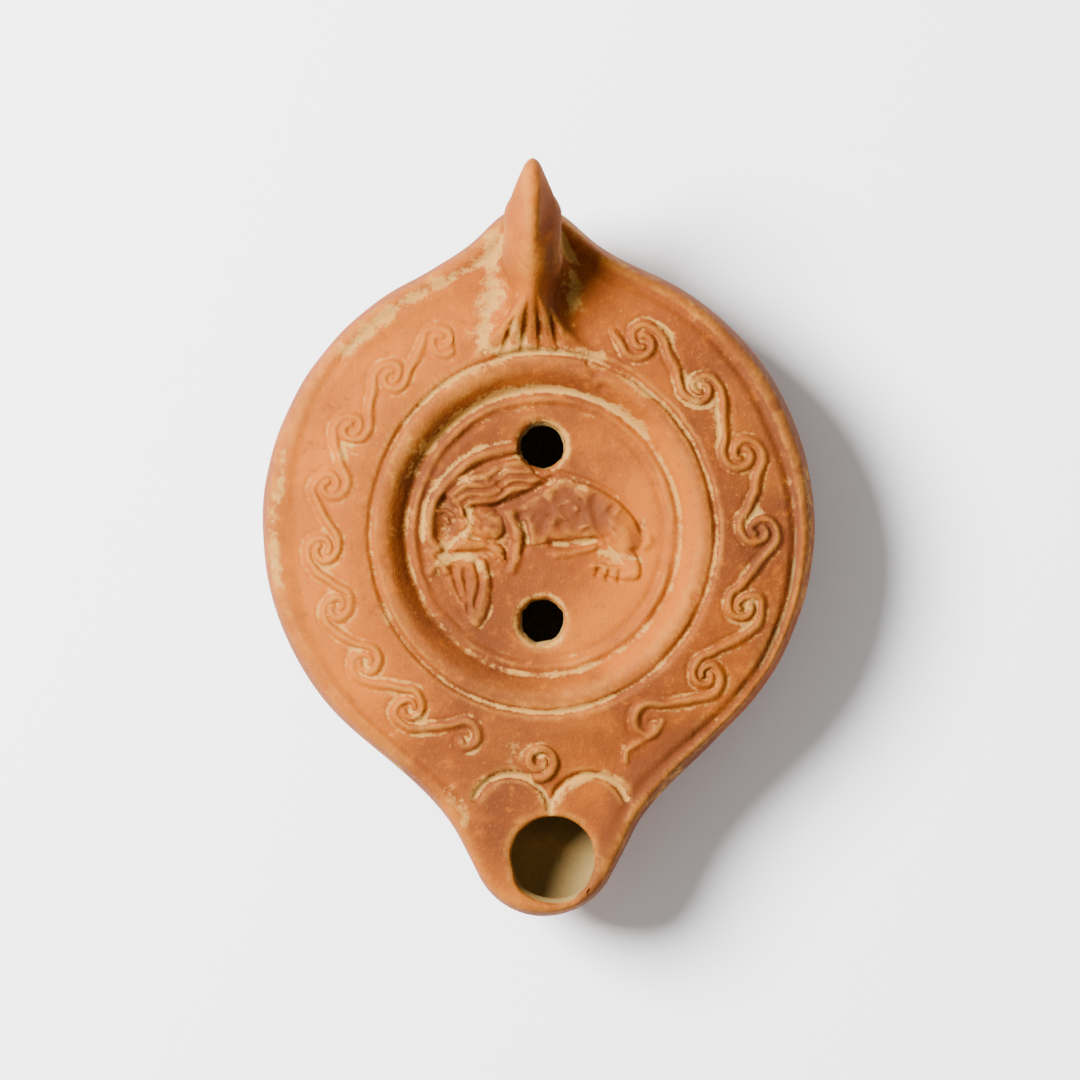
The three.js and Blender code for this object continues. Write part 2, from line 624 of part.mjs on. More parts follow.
function lampGeometry() {
  let clay = outerBody().add(handle());
  for (const raised of [...scrolls(), ...figureLumps(), ...figureArcs()]) clay = clay.add(raised);
  for (const cutter of cutters()) clay = clay.subtract(cutter);
  const { vertProperties, triVerts } = clay.getMesh();
  const geometry = new THREE.BufferGeometry();
  geometry.setAttribute('position', new THREE.BufferAttribute(new Float32Array(vertProperties), 3));
  geometry.setIndex(new THREE.BufferAttribute(new Uint32Array(triVerts), 1));
  geometry.computeVertexNormals();
  return geometry;
}

const clay = new THREE.MeshStandardMaterial({ color: '#c4683a', roughness: 0.72, metalness: 0 });
const lamp = new THREE.Mesh(lampGeometry(), clay);
lamp.name = 'clay_lamp';

const group = new THREE.Group();
group.add(lamp);

export default group;
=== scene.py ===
"""A Roman oil lamp of fired clay: its fine relief, its worn orange slip and the pale deposit in its hollows.

Sizes inside the classes are millimetres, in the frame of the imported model; meshes are made in metres.
"""
import logging
import math
from dataclasses import dataclass, field
from enum import Enum
from typing import Any

import bpy
import numpy as np
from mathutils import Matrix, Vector


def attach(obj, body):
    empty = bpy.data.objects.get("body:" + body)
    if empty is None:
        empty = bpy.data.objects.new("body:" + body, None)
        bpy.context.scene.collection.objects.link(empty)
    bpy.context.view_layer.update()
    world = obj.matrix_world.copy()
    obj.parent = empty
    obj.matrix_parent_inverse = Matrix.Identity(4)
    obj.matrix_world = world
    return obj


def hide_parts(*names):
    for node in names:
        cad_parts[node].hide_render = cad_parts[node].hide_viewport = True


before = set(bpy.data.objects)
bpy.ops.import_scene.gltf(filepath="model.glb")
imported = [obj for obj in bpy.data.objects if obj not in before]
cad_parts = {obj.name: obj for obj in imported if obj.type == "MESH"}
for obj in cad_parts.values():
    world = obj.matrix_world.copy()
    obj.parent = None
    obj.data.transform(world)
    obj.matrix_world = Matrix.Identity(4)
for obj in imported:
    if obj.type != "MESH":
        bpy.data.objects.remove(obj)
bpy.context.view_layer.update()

log = logging.getLogger("oil lamp")

MILLIMETRE = 0.001
NODE = "clay_lamp"
# Stretches drawn between two points of a smooth curve.
OPEN_CURVE_STEPS = 5
CLOSED_CURVE_STEPS = 4


def smoothstep(low: float, high: float, value: np.ndarray) -> np.ndarray:
    """Ease from 0 at low to 1 at high.

    Args:
        low: Where the result leaves 0.
        high: Where it reaches 1; below low it falls instead of rising.
        value: Numbers to map.

    Returns:
        The eased share for each number.
    """
    share = np.clip((value - low) / (high - low), 0, 1)
    return share * share * (3 - 2 * share)


def soft_min(a: np.ndarray, b: np.ndarray, blend: float) -> np.ndarray:
    """Join two signed distances with a fillet.

    Args:
        a: First distance, negative inside.
        b: Second distance.
        blend: Size of the fillet.

    Returns:
        The distance to both shapes together.
    """
    share = np.maximum(blend - np.abs(a - b), 0) / blend
    return np.minimum(a, b) - share * share * blend / 4


def soft_max(a: np.ndarray, b: np.ndarray, blend: float) -> np.ndarray:
    """Keep what two shapes have in common, with rounded edges.

    Args:
        a: First distance, negative inside.
        b: Second distance.
        blend: Size of the rounding.

    Returns:
        The distance to the common part.
    """
    return -soft_min(-a, -b, blend)


def bump(distance: np.ndarray, half_width: float) -> np.ndarray:
    """Give the rounded section of a ridge.

    Args:
        distance: Distance from the ridge's centre line.
        half_width: Where the ridge ends.

    Returns:
        1 on the line, easing to 0 at the half width.
    """
    return 1 - smoothstep(0, half_width, np.abs(distance))


def line_distance(x: np.ndarray, y: np.ndarray, line: np.ndarray) -> np.ndarray:
    """Measure to a line of straight stretches.

    Args:
        x: Places along X.
        y: Places along Y.
        line: The line's points.

    Returns:
        The distance.
    """
    nearest = np.full(x.shape, 1e9)
    for (x0, y0), (x1, y1) in zip(line, line[1:]):
        dx, dy = x1 - x0, y1 - y0
        share = np.clip(((x - x0) * dx + (y - y0) * dy) / max(dx * dx + dy * dy, 1e-12), 0, 1)
        nearest = np.minimum(nearest, np.hypot(x - x0 - share * dx, y - y0 - share * dy))
    return nearest


def inside_distance(x: np.ndarray, y: np.ndarray, line: np.ndarray) -> np.ndarray:
    """Measure how deep places are inside a closed line.

    Args:
        x: Places along X.
        y: Places along Y.
        line: The line's points, with the first repeated at the end.

    Returns:
        The distance to the line, negative outside it.
    """
    inside = np.zeros(x.shape, bool)
    for (x0, y0), (x1, y1) in zip(line, line[1:]):
        rise = y1 - y0 if abs(y1 - y0) > 1e-9 else 1e-9
        inside ^= ((y0 > y) != (y1 > y)) & (x < x0 + (y - y0) * (x1 - x0) / rise)
    near = line_distance(x, y, line)
    return np.where(inside, near, -near)


def curve_through(points: np.ndarray) -> np.ndarray:
    """Draw a smooth curve through points.

    Args:
        points: The points.

    Returns:
        The curve's points.
    """
    ends = np.concatenate([2 * points[:1] - points[1:2], points, 2 * points[-1:] - points[-2:-1]])
    return spline(ends, OPEN_CURVE_STEPS)


def closed_curve(points: np.ndarray) -> np.ndarray:
    """Draw a smooth closed curve through points.

    Args:
        points: The points.

    Returns:
        The curve's points, with the first repeated at the end.
    """
    return spline(np.concatenate([points[-1:], points, points[:2]]), CLOSED_CURVE_STEPS)


def spline(ends: np.ndarray, steps: int) -> np.ndarray:
    """Draw a smooth curve from the second of some points to the last but one.

    Args:
        ends: The points.
        steps: Stretches between two of them.

    Returns:
        The curve's points.
    """
    before, start, after, beyond = ends[:-3], ends[1:-2], ends[2:-1], ends[3:]
    fine = []
    for t in np.arange(steps) / steps:
        fine.append(0.5 * (2 * start + (after - before) * t
                           + (2 * before - 5 * start + 4 * after - beyond) * t ** 2
                           + (3 * start - before - 3 * after + beyond) * t ** 3))
    return np.concatenate([np.stack(fine, 1).reshape(-1, 2), ends[-2:-1]])


@dataclass
class Ripple:
    """A smooth, seeded irregularity, made of a few crossing waves."""

    seed: int
    wavelength: float
    waves: int = 7

    def at(self, points: np.ndarray) -> np.ndarray:
        """Evaluate the irregularity.

        Args:
            points: Places, one row each.

        Returns:
            A number from about -1 to 1 for each place.
        """
        random = np.random.default_rng(self.seed)
        ways = random.normal(size=(self.waves, points.shape[-1]))
        ways /= np.linalg.norm(ways, axis=1, keepdims=True)
        pitches = 2 * np.pi / (self.wavelength * random.uniform(0.6, 1.5, self.waves))
        starts = random.uniform(0, 2 * np.pi, self.waves)
        total = np.zeros(points.shape[:-1])
        for way, pitch, start in zip(ways, pitches, starts):
            total += np.sin(points @ way * pitch + start)
        return total * 1.6 / self.waves


@dataclass
class BodyForm:
    """The round body with its shoulder, sunk disc, nozzle and hollow inside."""

    radius: float = 44.0
    centre_x: float = -0.4
    centre_y: float = 1.5
    widest: float = 16.0
    top: float = 27.5
    shoulder_fall: float = 1.9
    nozzle_fall: float = 0.055
    rim_rounding: float = 2.2
    bowl_fullness: float = 0.62
    nozzle_fullness: float = 0.78
    bowl_power: float = 2.2
    border_inset: float = 3.2
    base_radius: float = 20.0
    base_step: float = 1.0
    base_groove_radius: float = 16.5
    base_groove_half_width: float = 1.0
    base_groove_depth: float = 0.7
    disc_edge: float = 28.6
    disc_floor_radius: float = 19.7
    disc_sag: float = 1.3
    nozzle_tip_radius: float = 11.8
    nozzle_reach: float = 60.7
    nozzle_shift: float = 0.6
    nozzle_start: float = 30.0
    nozzle_opening: float = math.radians(27)
    nozzle_blend: float = 7.6
    flare_x: float = -1.5
    flare_half_width: float = 3.0
    flare_reach: float = 50.5
    flare_blend: float = 16.8
    wall: float = 3.0
    floor: float = 3.4
    wick_x: float = 1.9
    wick_y: float = -51.2
    wick_radius: float = 6.6
    channel_height: float = 16.0
    channel_half_height: float = 4.8
    channel_half_width: float = 7.4
    channel_front: float = 6.8
    wick_chip: float = 1.3
    fill_radius: float = 3.3
    fill_lip: float = 0.85
    fill_spread: float = 13.8
    ring_x: float = 0.3
    ring_y: float = 0.4
    ring_stretch: float = 0.02
    # How far the hollow's ceiling is below the top: under the disc, the ring, the shoulder and the rim.
    ceiling_drops: tuple[float, float, float, float] = (6.5, 3.7, 4.4, 7.2)
    ceiling_run: float = 2.2
    tank_rounding: float = 2.0
    channel_widening: float = 0.35
    channel_blend: float = 2.5
    # Depths below the top between which the wick hole's chip and the filling holes' lips open out.
    chip_depths: tuple[float, float] = (5.4, 2.4)
    lip_depths: tuple[float, float] = (5.6, 3.2)
    fill_depth: float = 8.0
    fill_x: float = 0.25
    fill_y: float = 0.2
    lip_shift: float = 0.35
    wick_unevenness: float = 0.12
    fill_unevenness: float = 0.2
    rim_edge: float = 1.0
    base_edge: float = 0.6
    # Bends of the moulding round the disc: radius, and height over the top line.
    mouldings: tuple[tuple[float, float], ...] = (
        (19.7, -3.2), (21.3, -3.05), (26.1, 0.15), (28.6, 0.0))
    steps: int = 1440
    reaches: np.ndarray = field(init=False)
    slants: np.ndarray = field(init=False)

    def __post_init__(self) -> None:
        """Work out how far the outline reaches in each direction."""
        turns = np.arange(self.steps) * 2 * np.pi / self.steps
        low = np.full(self.steps, self.disc_edge)
        high = np.full(self.steps, 2 * self.nozzle_reach)
        for _ in range(30):
            middle = (low + high) / 2
            inside = self.plan(middle * np.cos(turns), middle * np.sin(turns)) < 0
            low = np.where(inside, middle, low)
            high = np.where(inside, high, middle)
        self.reaches = low
        slope = (np.roll(low, -1) - np.roll(low, 1)) / (4 * np.pi / self.steps)
        self.slants = 1 / np.sqrt(1 + (slope / low) ** 2)

    def plan(self, x: np.ndarray, y: np.ndarray) -> np.ndarray:
        """Measure to the outline seen from above.

        Args:
            x: Places along X.
            y: Places along Y.

        Returns:
            The signed distance, negative inside.
        """
        body = np.hypot(x - self.centre_x, y - self.centre_y) - self.radius
        end = self.flare_reach - self.flare_half_width
        beyond = np.maximum(y - end, np.minimum(y, 0))
        flare = np.hypot(x - self.flare_x, beyond) - self.flare_half_width
        across = np.abs(x - self.nozzle_shift)
        along = y + self.nozzle_reach - self.nozzle_tip_radius
        cosine, sine = math.cos(self.nozzle_opening), math.sin(self.nozzle_opening)
        tip = np.hypot(across, along) - self.nozzle_tip_radius
        side = across * cosine - along * sine - self.nozzle_tip_radius
        side = np.maximum(side, y + self.nozzle_start)
        nozzle = np.where(along * cosine + across * sine < 0, tip, side)
        return soft_min(soft_min(body, flare, self.flare_blend), nozzle, self.nozzle_blend)

    def top_height(self, x: np.ndarray, y: np.ndarray) -> np.ndarray:
        """Give the height of the lamp's upper side, without its pictures.

        Args:
            x: Places along X.
            y: Places along Y.

        Returns:
            The height at each place.
        """
        radius = np.hypot(x, y)
        edge = self.radius - self.border_inset
        beyond = np.maximum(radius - edge, 0)
        height = self.top - self.shoulder_fall * smoothstep(self.disc_edge, edge, radius)
        height = height - self.nozzle_fall * beyond
        ring = self.ring_radius(x, y)
        first = self.mouldings[0]
        share = np.minimum(ring / first[0], 1)
        disc = self.top + first[1] - self.disc_sag * (1 - share * share)
        height = np.where(ring < self.disc_edge, disc, height)
        for (r0, h0), (r1, h1) in zip(self.mouldings, self.mouldings[1:]):
            within = (ring >= r0) & (ring < r1)
            ease = smoothstep(r0, r1, ring)
            height = np.where(within, self.top + h0 + (h1 - h0) * ease, height)
        return height

    def ring_radius(self, x: np.ndarray, y: np.ndarray) -> np.ndarray:
        """Measure the radius on the disc's moulding, which is pressed a little out of round.

        Args:
            x: Places along X.
            y: Places along Y.

        Returns:
            The radius.
        """
        across, along = x - self.ring_x, y - self.ring_y
        radius = np.hypot(across, along)
        cosine = (across * across - along * along) / np.maximum(radius * radius, 1)
        return radius * (1 + self.ring_stretch * cosine)

    def side(self, y: np.ndarray, height: np.ndarray, reach: np.ndarray) -> np.ndarray:
        """Give the radius of the outer wall.

        Args:
            y: Places along Y, which tell the handle's side from the nozzle's.
            height: Heights.
            reach: How far the outline reaches in each place's direction.

        Returns:
            The wall's radius at each height.
        """
        rise = np.clip((height - self.widest) / (self.top - 1.5 - self.widest), 0, 1)
        upper = reach - self.rim_rounding * (1 - np.sqrt(1 - rise * rise))
        drop = np.clip((self.widest - height) / (self.widest - self.base_step), 0, 1)
        return np.where(height > self.widest, upper, self.bowl(reach, drop, self.base_radius, y))

    def bowl(self, reach: np.ndarray, drop: np.ndarray, foot: float, y: np.ndarray) -> np.ndarray:
        """Give the radius of the bowl below its widest line.

        Args:
            reach: How far the outline reaches.
            drop: 0 at the widest line and 1 at the foot.
            foot: Radius of the foot.
            y: Places along Y; on the handle's side the flare dies away down the bowl.

        Returns:
            The bowl's radius.
        """
        kept = np.where(y > 0, 1 - smoothstep(0, 0.6, drop), 1)
        drawn = np.minimum(reach, self.radius) * (1 - kept) + reach * kept
        on_nozzle = smoothstep(self.radius, self.nozzle_reach, drawn)
        fullness = self.bowl_fullness + (self.nozzle_fullness - self.bowl_fullness) * on_nozzle
        return foot + (drawn - foot) * (1 - drop ** self.bowl_power) ** fullness

    def outside(self, p: np.ndarray) -> np.ndarray:
        """Measure to the outer surface of the body.

        Args:
            p: Places, one row each.

        Returns:
            The signed distance, negative in the clay.
        """
        x, y, z = p[..., 0], p[..., 1], p[..., 2]
        radius = np.hypot(x, y)
        turn = np.mod(np.arctan2(y, x), 2 * np.pi) * self.steps / (2 * np.pi)
        index = np.minimum(turn.astype(int), self.steps - 1)
        after = (index + 1) % self.steps
        share = turn - index
        reach = self.reaches[index] * (1 - share) + self.reaches[after] * share
        slant = self.slants[index] * (1 - share) + self.slants[after] * share
        step = 0.2
        wall = self.side(y, z, reach)
        slope = (self.side(y, z + step, reach) - self.side(y, z - step, reach)) / (2 * step)
        side = (radius - wall) * slant / np.sqrt(1 + (slope * slant) ** 2)
        upper = (z - self.top_height(x, y)) * 0.85
        groove = self.base_groove_depth * bump(radius - self.base_groove_radius, self.base_groove_half_width)
        under = np.where(radius < self.base_radius + 2, groove, 0) - z
        return soft_max(soft_max(upper, side, self.rim_edge), under, self.base_edge)

    def tank(self, x: np.ndarray, y: np.ndarray, z: np.ndarray) -> np.ndarray:
        """Measure to the reservoir under the shoulder and disc.

        Args:
            x: Places along X.
            y: Places along Y.
            z: Heights.

        Returns:
            The signed distance, negative in the space.
        """
        radius = np.hypot(x, y - self.centre_y)
        reach = self.radius - self.wall
        disc, ring, shoulder, rim = (self.top - drop for drop in self.ceiling_drops)
        bends = [0, self.disc_floor_radius + 0.6, self.disc_edge, 0.5 * (self.disc_edge + reach),
                 reach - self.ceiling_run, reach]
        ceiling = np.interp(radius, bends, [disc, disc, ring, shoulder, rim, self.widest])
        drop = np.clip((self.widest - z) / (self.widest - self.floor), 0, 1)
        wall = self.bowl(np.full_like(z, reach), drop, self.base_radius - self.wall, -np.ones_like(z))
        tank = soft_max(z - ceiling, (radius - wall) * 0.8, self.tank_rounding)
        return soft_max(tank, self.floor - z, self.tank_rounding)

    def channel(self, x: np.ndarray, y: np.ndarray, z: np.ndarray) -> np.ndarray:
        """Measure to the channel from the reservoir to the wick hole, which is wider than it is high.

        Args:
            x: Places along X.
            y: Places along Y.
            z: Heights.

        Returns:
            The signed distance, negative in the space.
        """
        stretch = self.channel_half_width / self.channel_half_height
        across = np.hypot(x - self.wick_x, (z - self.channel_height) * stretch)
        run = -self.wick_y - self.base_radius
        behind = y - self.wick_y
        widening = 1 + self.channel_widening * np.clip(behind / (0.5 * run), 0, 1)
        tube = np.maximum(across - self.channel_half_width * widening, behind - run)
        forward = behind * self.channel_half_width / self.channel_front
        end = np.hypot(across, forward) - self.channel_half_width
        return np.where(behind < 0, end, tube) / stretch

    def hollow(self, p: np.ndarray) -> np.ndarray:
        """Measure to the space inside: reservoir, channel, wick hole and filling holes.

        Args:
            p: Places, one row each.

        Returns:
            The signed distance, negative in the space.
        """
        x, y, z = p[..., 0], p[..., 1], p[..., 2]
        space = soft_min(self.tank(x, y, z), self.channel(x, y, z), self.channel_blend)
        uneven = Ripple(3, 6).at(p[..., :2])
        ahead, aside = y - self.wick_y, x - self.wick_x
        deep, shallow = (self.top - depth for depth in self.chip_depths)
        chipped = self.wick_chip * smoothstep(deep, shallow, z) * (1 + 0.3 * uneven)
        ahead = np.where(ahead < 0, ahead / (1 + chipped / self.wick_radius), ahead)
        wick = np.hypot(aside, ahead) - self.wick_radius - self.wick_unevenness * uneven
        space = soft_min(space, np.maximum(wick, self.channel_height - z), 1.0)
        ragged = Ripple(8, 2.6).at(p[..., :2])
        deep, shallow = (self.top - depth for depth in self.lip_depths)
        lip = smoothstep(deep, shallow, z)
        for way in (1, -1):
            aside = x - self.fill_x + self.lip_shift * lip
            hole = np.hypot(aside, y - way * self.fill_spread - self.fill_y)
            hole = hole - self.fill_radius - self.fill_lip * lip
            hole = hole - self.fill_unevenness * ragged * (1 - 0.5 * lip)
            space = soft_min(space, np.maximum(hole, self.top - self.fill_depth - z), 0.5)
        return space


@dataclass
class HandleForm:
    """The upright handle: a fin on the back of the body, pierced across and fluted at its foot."""

    x: float = -1.3
    top: float = 46.0
    reach: float = 59.3
    root_height: float = 13.0
    foot: float = 28.9
    foot_height: float = 24.4
    eye_from_back: float = 12.1
    eye_from_top: float = 13.0
    eye_radius: float = 3.3
    edge_half_width: float = 0.7
    eye_half_width: float = 4.7
    taper: float = 9.0
    foot_half_width: float = 7.4
    foot_length: float = 11.0
    flutes: int = 4
    flute_pitch: float = 3.0
    flute_depth: float = 0.6
    flute_length: float = 11.0
    edge_rounding: float = 1.5
    eye_rounding: float = 0.8
    # How far from the eye the fin begins to thicken, and where it is thickest.
    swelling: tuple[float, float] = (6.5, -0.5)
    # Corners of the side view, as shares of its length and height: up the front, then down the back.
    front: tuple[tuple[float, float], ...] = (
        (0, 0.06), (0.14, 0.3), (0.34, 0.6), (0.56, 0.84), (0.76, 0.98))
    back: tuple[tuple[float, float], ...] = (
        (0.1, 0.01), (0.005, 0.11), (0.01, 0.25), (0.11, 0.44), (0.25, 0.67), (0.42, 0.9), (0.62, 0.96),
        (0.78, 0.82), (0.9, 0.7))

    def side_distance(self, y: np.ndarray, z: np.ndarray) -> np.ndarray:
        """Measure to the side view's outline.

        Args:
            y: Places along Y.
            z: Heights.

        Returns:
            The signed distance, negative inside the outline.
        """
        run = self.reach - self.foot
        rise = self.top - self.foot_height
        drop = self.top - self.root_height
        corners = [(self.foot + a * run, self.foot_height + b * rise) for a, b in self.front]
        corners += [(self.reach - a * run, self.top - b * drop) for a, b in self.back]
        return -inside_distance(y, z, closed_curve(np.array(corners)))

    def outside(self, p: np.ndarray) -> np.ndarray:
        """Measure to the handle.

        Args:
            p: Places, one row each.

        Returns:
            The signed distance, negative in the clay.
        """
        far = p[..., 1] < self.foot - 8
        distance = np.full(p.shape[:-1], 30.0)
        near = p[~far]
        if len(near) == 0:
            return distance
        x, y, z = near[:, 0] - self.x, near[:, 1], near[:, 2]
        edge = self.side_distance(y, z)
        deep = np.clip(-edge / self.taper, 0, 1)
        fin = self.edge_half_width + (self.eye_half_width - self.edge_half_width) * deep
        eye_y, eye_z = self.reach - self.eye_from_back, self.top - self.eye_from_top
        eye = np.hypot(y - eye_y, z - eye_z) - self.eye_radius
        # The fin is thickest all round the eye, so the eye does not show from above.
        fin = fin + (self.eye_half_width - fin) * smoothstep(*self.swelling, eye)
        on_fin = smoothstep(self.foot - 1, self.foot + self.foot_length, y)
        half_width = self.foot_half_width * (1 - on_fin) + fin * on_fin
        fan = x / (1 - 0.06 * np.clip(y - self.foot, 0, 9)) / self.flute_pitch + (self.flutes - 1) / 2
        phase = np.where((fan > -0.5) & (fan < self.flutes - 0.5), np.cos(2 * np.pi * fan), -1)
        low = smoothstep(self.foot + self.flute_length, self.foot + 2, y)
        low = low * smoothstep(self.foot - 0.6, self.foot + 0.8, y)
        edge = edge + self.flute_depth * low * np.clip(phase + 0.2, 0, 1.2)
        solid = soft_max(edge, (np.abs(x) - half_width) * 0.93, self.edge_rounding)
        distance[~far] = soft_max(solid, -eye, self.eye_rounding)
        return distance


@dataclass
class LampForm:
    """The whole lamp as one signed distance."""

    body: BodyForm = field(default_factory=BodyForm)
    handle: HandleForm = field(default_factory=HandleForm)
    fillet: float = 3.0
    unevenness: float = 0.13

    def clay(self, p: np.ndarray) -> np.ndarray:
        """Measure to the outer surface, before the lamp is hollowed.

        Args:
            p: Places, one row each.

        Returns:
            The signed distance, negative inside.
        """
        uneven = self.unevenness * Ripple(21, 16).at(p) * smoothstep(2, 8, p[..., 2])
        return soft_min(self.body.outside(p), self.handle.outside(p), self.fillet) + uneven

    def distance(self, p: np.ndarray) -> np.ndarray:
        """Measure to the hollow lamp.

        Args:
            p: Places, one row each.

        Returns:
            The signed distance, negative in the clay.
        """
        return soft_max(self.clay(p), -self.body.hollow(p), 0.8)


@dataclass
class Mesher:
    """Turns a signed distance into a mesh of triangles that is finest where the relief is."""

    form: LampForm
    low: tuple[float, float, float] = (-47.0, -64.0, -2.0)
    high: tuple[float, float, float] = (47.0, 63.0, 49.0)
    cell: float = 1.2
    points: np.ndarray = field(init=False)
    faces: np.ndarray = field(init=False)

    def draw(self) -> None:
        """Cover the surface with one point in each cell that it crosses, joined into triangles."""
        counts = [int(math.ceil((b - a) / self.cell)) + 1 for a, b in zip(self.low, self.high)]
        axes = [low + self.cell * np.arange(count) for low, count in zip(self.low, counts)]
        grid = np.stack(np.meshgrid(*axes, indexing="ij"), -1)
        value = self.form.distance(grid.reshape(-1, 3)).reshape(counts)
        inside = value < 0
        cells = tuple(count - 1 for count in counts)
        total = np.zeros(cells + (3,))
        hits = np.zeros(cells)
        crossings = []
        for axis in range(3):
            near = [slice(None)] * 3
            far = [slice(None)] * 3
            near[axis], far[axis] = slice(0, -1), slice(1, None)
            near, far = tuple(near), tuple(far)
            crossed = inside[near] != inside[far]
            share = np.where(crossed, value[near] / np.where(crossed, value[near] - value[far], 1), 0)
            place = grid[near].copy()
            place[..., axis] += share * self.cell
            crossings.append((crossed, inside[near]))
            others = [other for other in range(3) if other != axis]
            for first in (0, 1):
                for second in (0, 1):
                    pick = [slice(None)] * 3
                    pick[others[0]] = slice(first, first + cells[others[0]])
                    pick[others[1]] = slice(second, second + cells[others[1]])
                    pick = tuple(pick)
                    total += place[pick] * crossed[pick][..., None]
                    hits += crossed[pick]
        used = hits > 0
        index = np.full(cells, -1)
        index[used] = np.arange(used.sum())
        self.points = total[used] / hits[used][:, None]
        self.faces = np.concatenate([self.join(index, axis, *crossings[axis]) for axis in range(3)])

    @staticmethod
    def join(index: np.ndarray, axis: int, crossed: np.ndarray, inside: np.ndarray) -> np.ndarray:
        """Join the cells round each crossed grid line that runs along one axis.

        Args:
            index: Each cell's point, or -1.
            axis: The grid lines' axis.
            crossed: Which grid lines the surface crosses.
            inside: Whether each line starts in the clay.

        Returns:
            Two triangles for each crossed line.
        """
        u, v = (axis + 1) % 3, (axis + 2) % 3
        where = np.argwhere(crossed)
        room = np.array(index.shape)
        fits = (where[:, u] > 0) & (where[:, v] > 0) & (where[:, u] < room[u]) & (where[:, v] < room[v])
        where = where[fits]
        starts = inside[tuple(where.T)]
        corner = []
        for du, dv in ((1, 1), (0, 1), (0, 0), (1, 0)):
            cell = where.copy()
            cell[:, u] -= du
            cell[:, v] -= dv
            corner.append(index[tuple(cell.T)])
        a, b, c, d = corner
        quads = np.where(starts[:, None], np.stack([a, d, c, b], 1), np.stack([a, b, c, d], 1))
        quads = quads[:, ::-1]
        return np.concatenate([quads[:, [0, 1, 2]], quads[:, [0, 2, 3]]])

    def settle(self, rounds: int) -> None:
        """Move the points onto the surface.

        Args:
            rounds: How often to repeat the step.
        """
        step = 0.05
        for _ in range(rounds):
            value = self.form.distance(self.points)
            slope = np.empty_like(self.points)
            for axis in range(3):
                shift = np.zeros(3)
                shift[axis] = step
                ahead = self.form.distance(self.points + shift)
                behind = self.form.distance(self.points - shift)
                slope[:, axis] = (ahead - behind) / (2 * step)
            size = np.maximum((slope ** 2).sum(1), 0.25)
            move = -value / size
            limit = 0.4 * self.cell
            self.points += np.clip(move, -limit, limit)[:, None] * slope

    def relax(self, share: float) -> None:
        """Even out the triangles by moving each point towards the middle of its neighbours.

        Args:
            share: How far to move.
        """
        self.points += share * (neighbour_mean(self.points, self.faces) - self.points)

    def refine(self, chosen: np.ndarray) -> None:
        """Split the chosen triangles into four and their neighbours to fit.

        Args:
            chosen: Whether to split each triangle.
        """
        edges = np.sort(self.faces[:, [[0, 1], [1, 2], [2, 0]]].reshape(-1, 2), 1)
        unique, back = np.unique(edges, axis=0, return_inverse=True)
        back = back.reshape(-1, 3)
        split = np.zeros(len(unique), bool)
        split[back[chosen].ravel()] = True
        # A triangle with two split sides is split on its third too, until none is left.
        while True:
            two = split[back].sum(1) == 2
            if not two.any():
                break
            split[back[two].ravel()] = True
        fresh = np.full(len(unique), -1)
        fresh[split] = len(self.points) + np.arange(split.sum())
        middles = self.points[unique[split]].mean(1)
        self.points = np.concatenate([self.points, middles])
        marks = split[back]
        middle = fresh[back]
        count = marks.sum(1)
        kept = [self.faces[count == 0]]
        whole = count == 3
        a, b, c = self.faces[whole].T
        ab, bc, ca = middle[whole].T
        kept += [np.stack(t, 1) for t in ((a, ab, ca), (ab, b, bc), (ca, bc, c), (ab, bc, ca))]
        for side in range(3):
            only = (count == 1) & marks[:, side]
            first, second, third = (self.faces[only][:, (side + k) % 3] for k in range(3))
            cut = middle[only][:, side]
            kept += [np.stack([first, cut, third], 1), np.stack([cut, second, third], 1)]
        self.faces = np.concatenate(kept)

    def centres(self) -> np.ndarray:
        """Give the middle of each triangle."""
        return self.points[self.faces].mean(1)


def neighbour_mean(values: np.ndarray, faces: np.ndarray) -> np.ndarray:
    """Average each point's neighbours.

    Args:
        values: One row for each point.
        faces: Triangles.

    Returns:
        The mean of the neighbours' rows.
    """
    count = len(values)
    starts = faces[:, [0, 1, 2]].ravel()
    ends = faces[:, [1, 2, 0]].ravel()
    weight = np.bincount(starts, minlength=count) + np.bincount(ends, minlength=count)
    result = np.empty_like(values)
    for column in range(values.shape[1]):
        total = np.bincount(starts, values[ends, column], count)
        total += np.bincount(ends, values[starts, column], count)
        result[:, column] = total / np.maximum(weight, 1)
    return result


class Lean(Enum):
    """Which way a band of scrolls runs round the shoulder."""

    ANTICLOCKWISE = 1
    CLOCKWISE = -1


@dataclass(frozen=True)
class ScrollBand:
    """A chain of S-shaped scrolls on one side of the shoulder; angles in degrees from +X."""

    count: int
    first: float
    pitch: float
    hook_radius: float
    lean: Lean
    seed: float


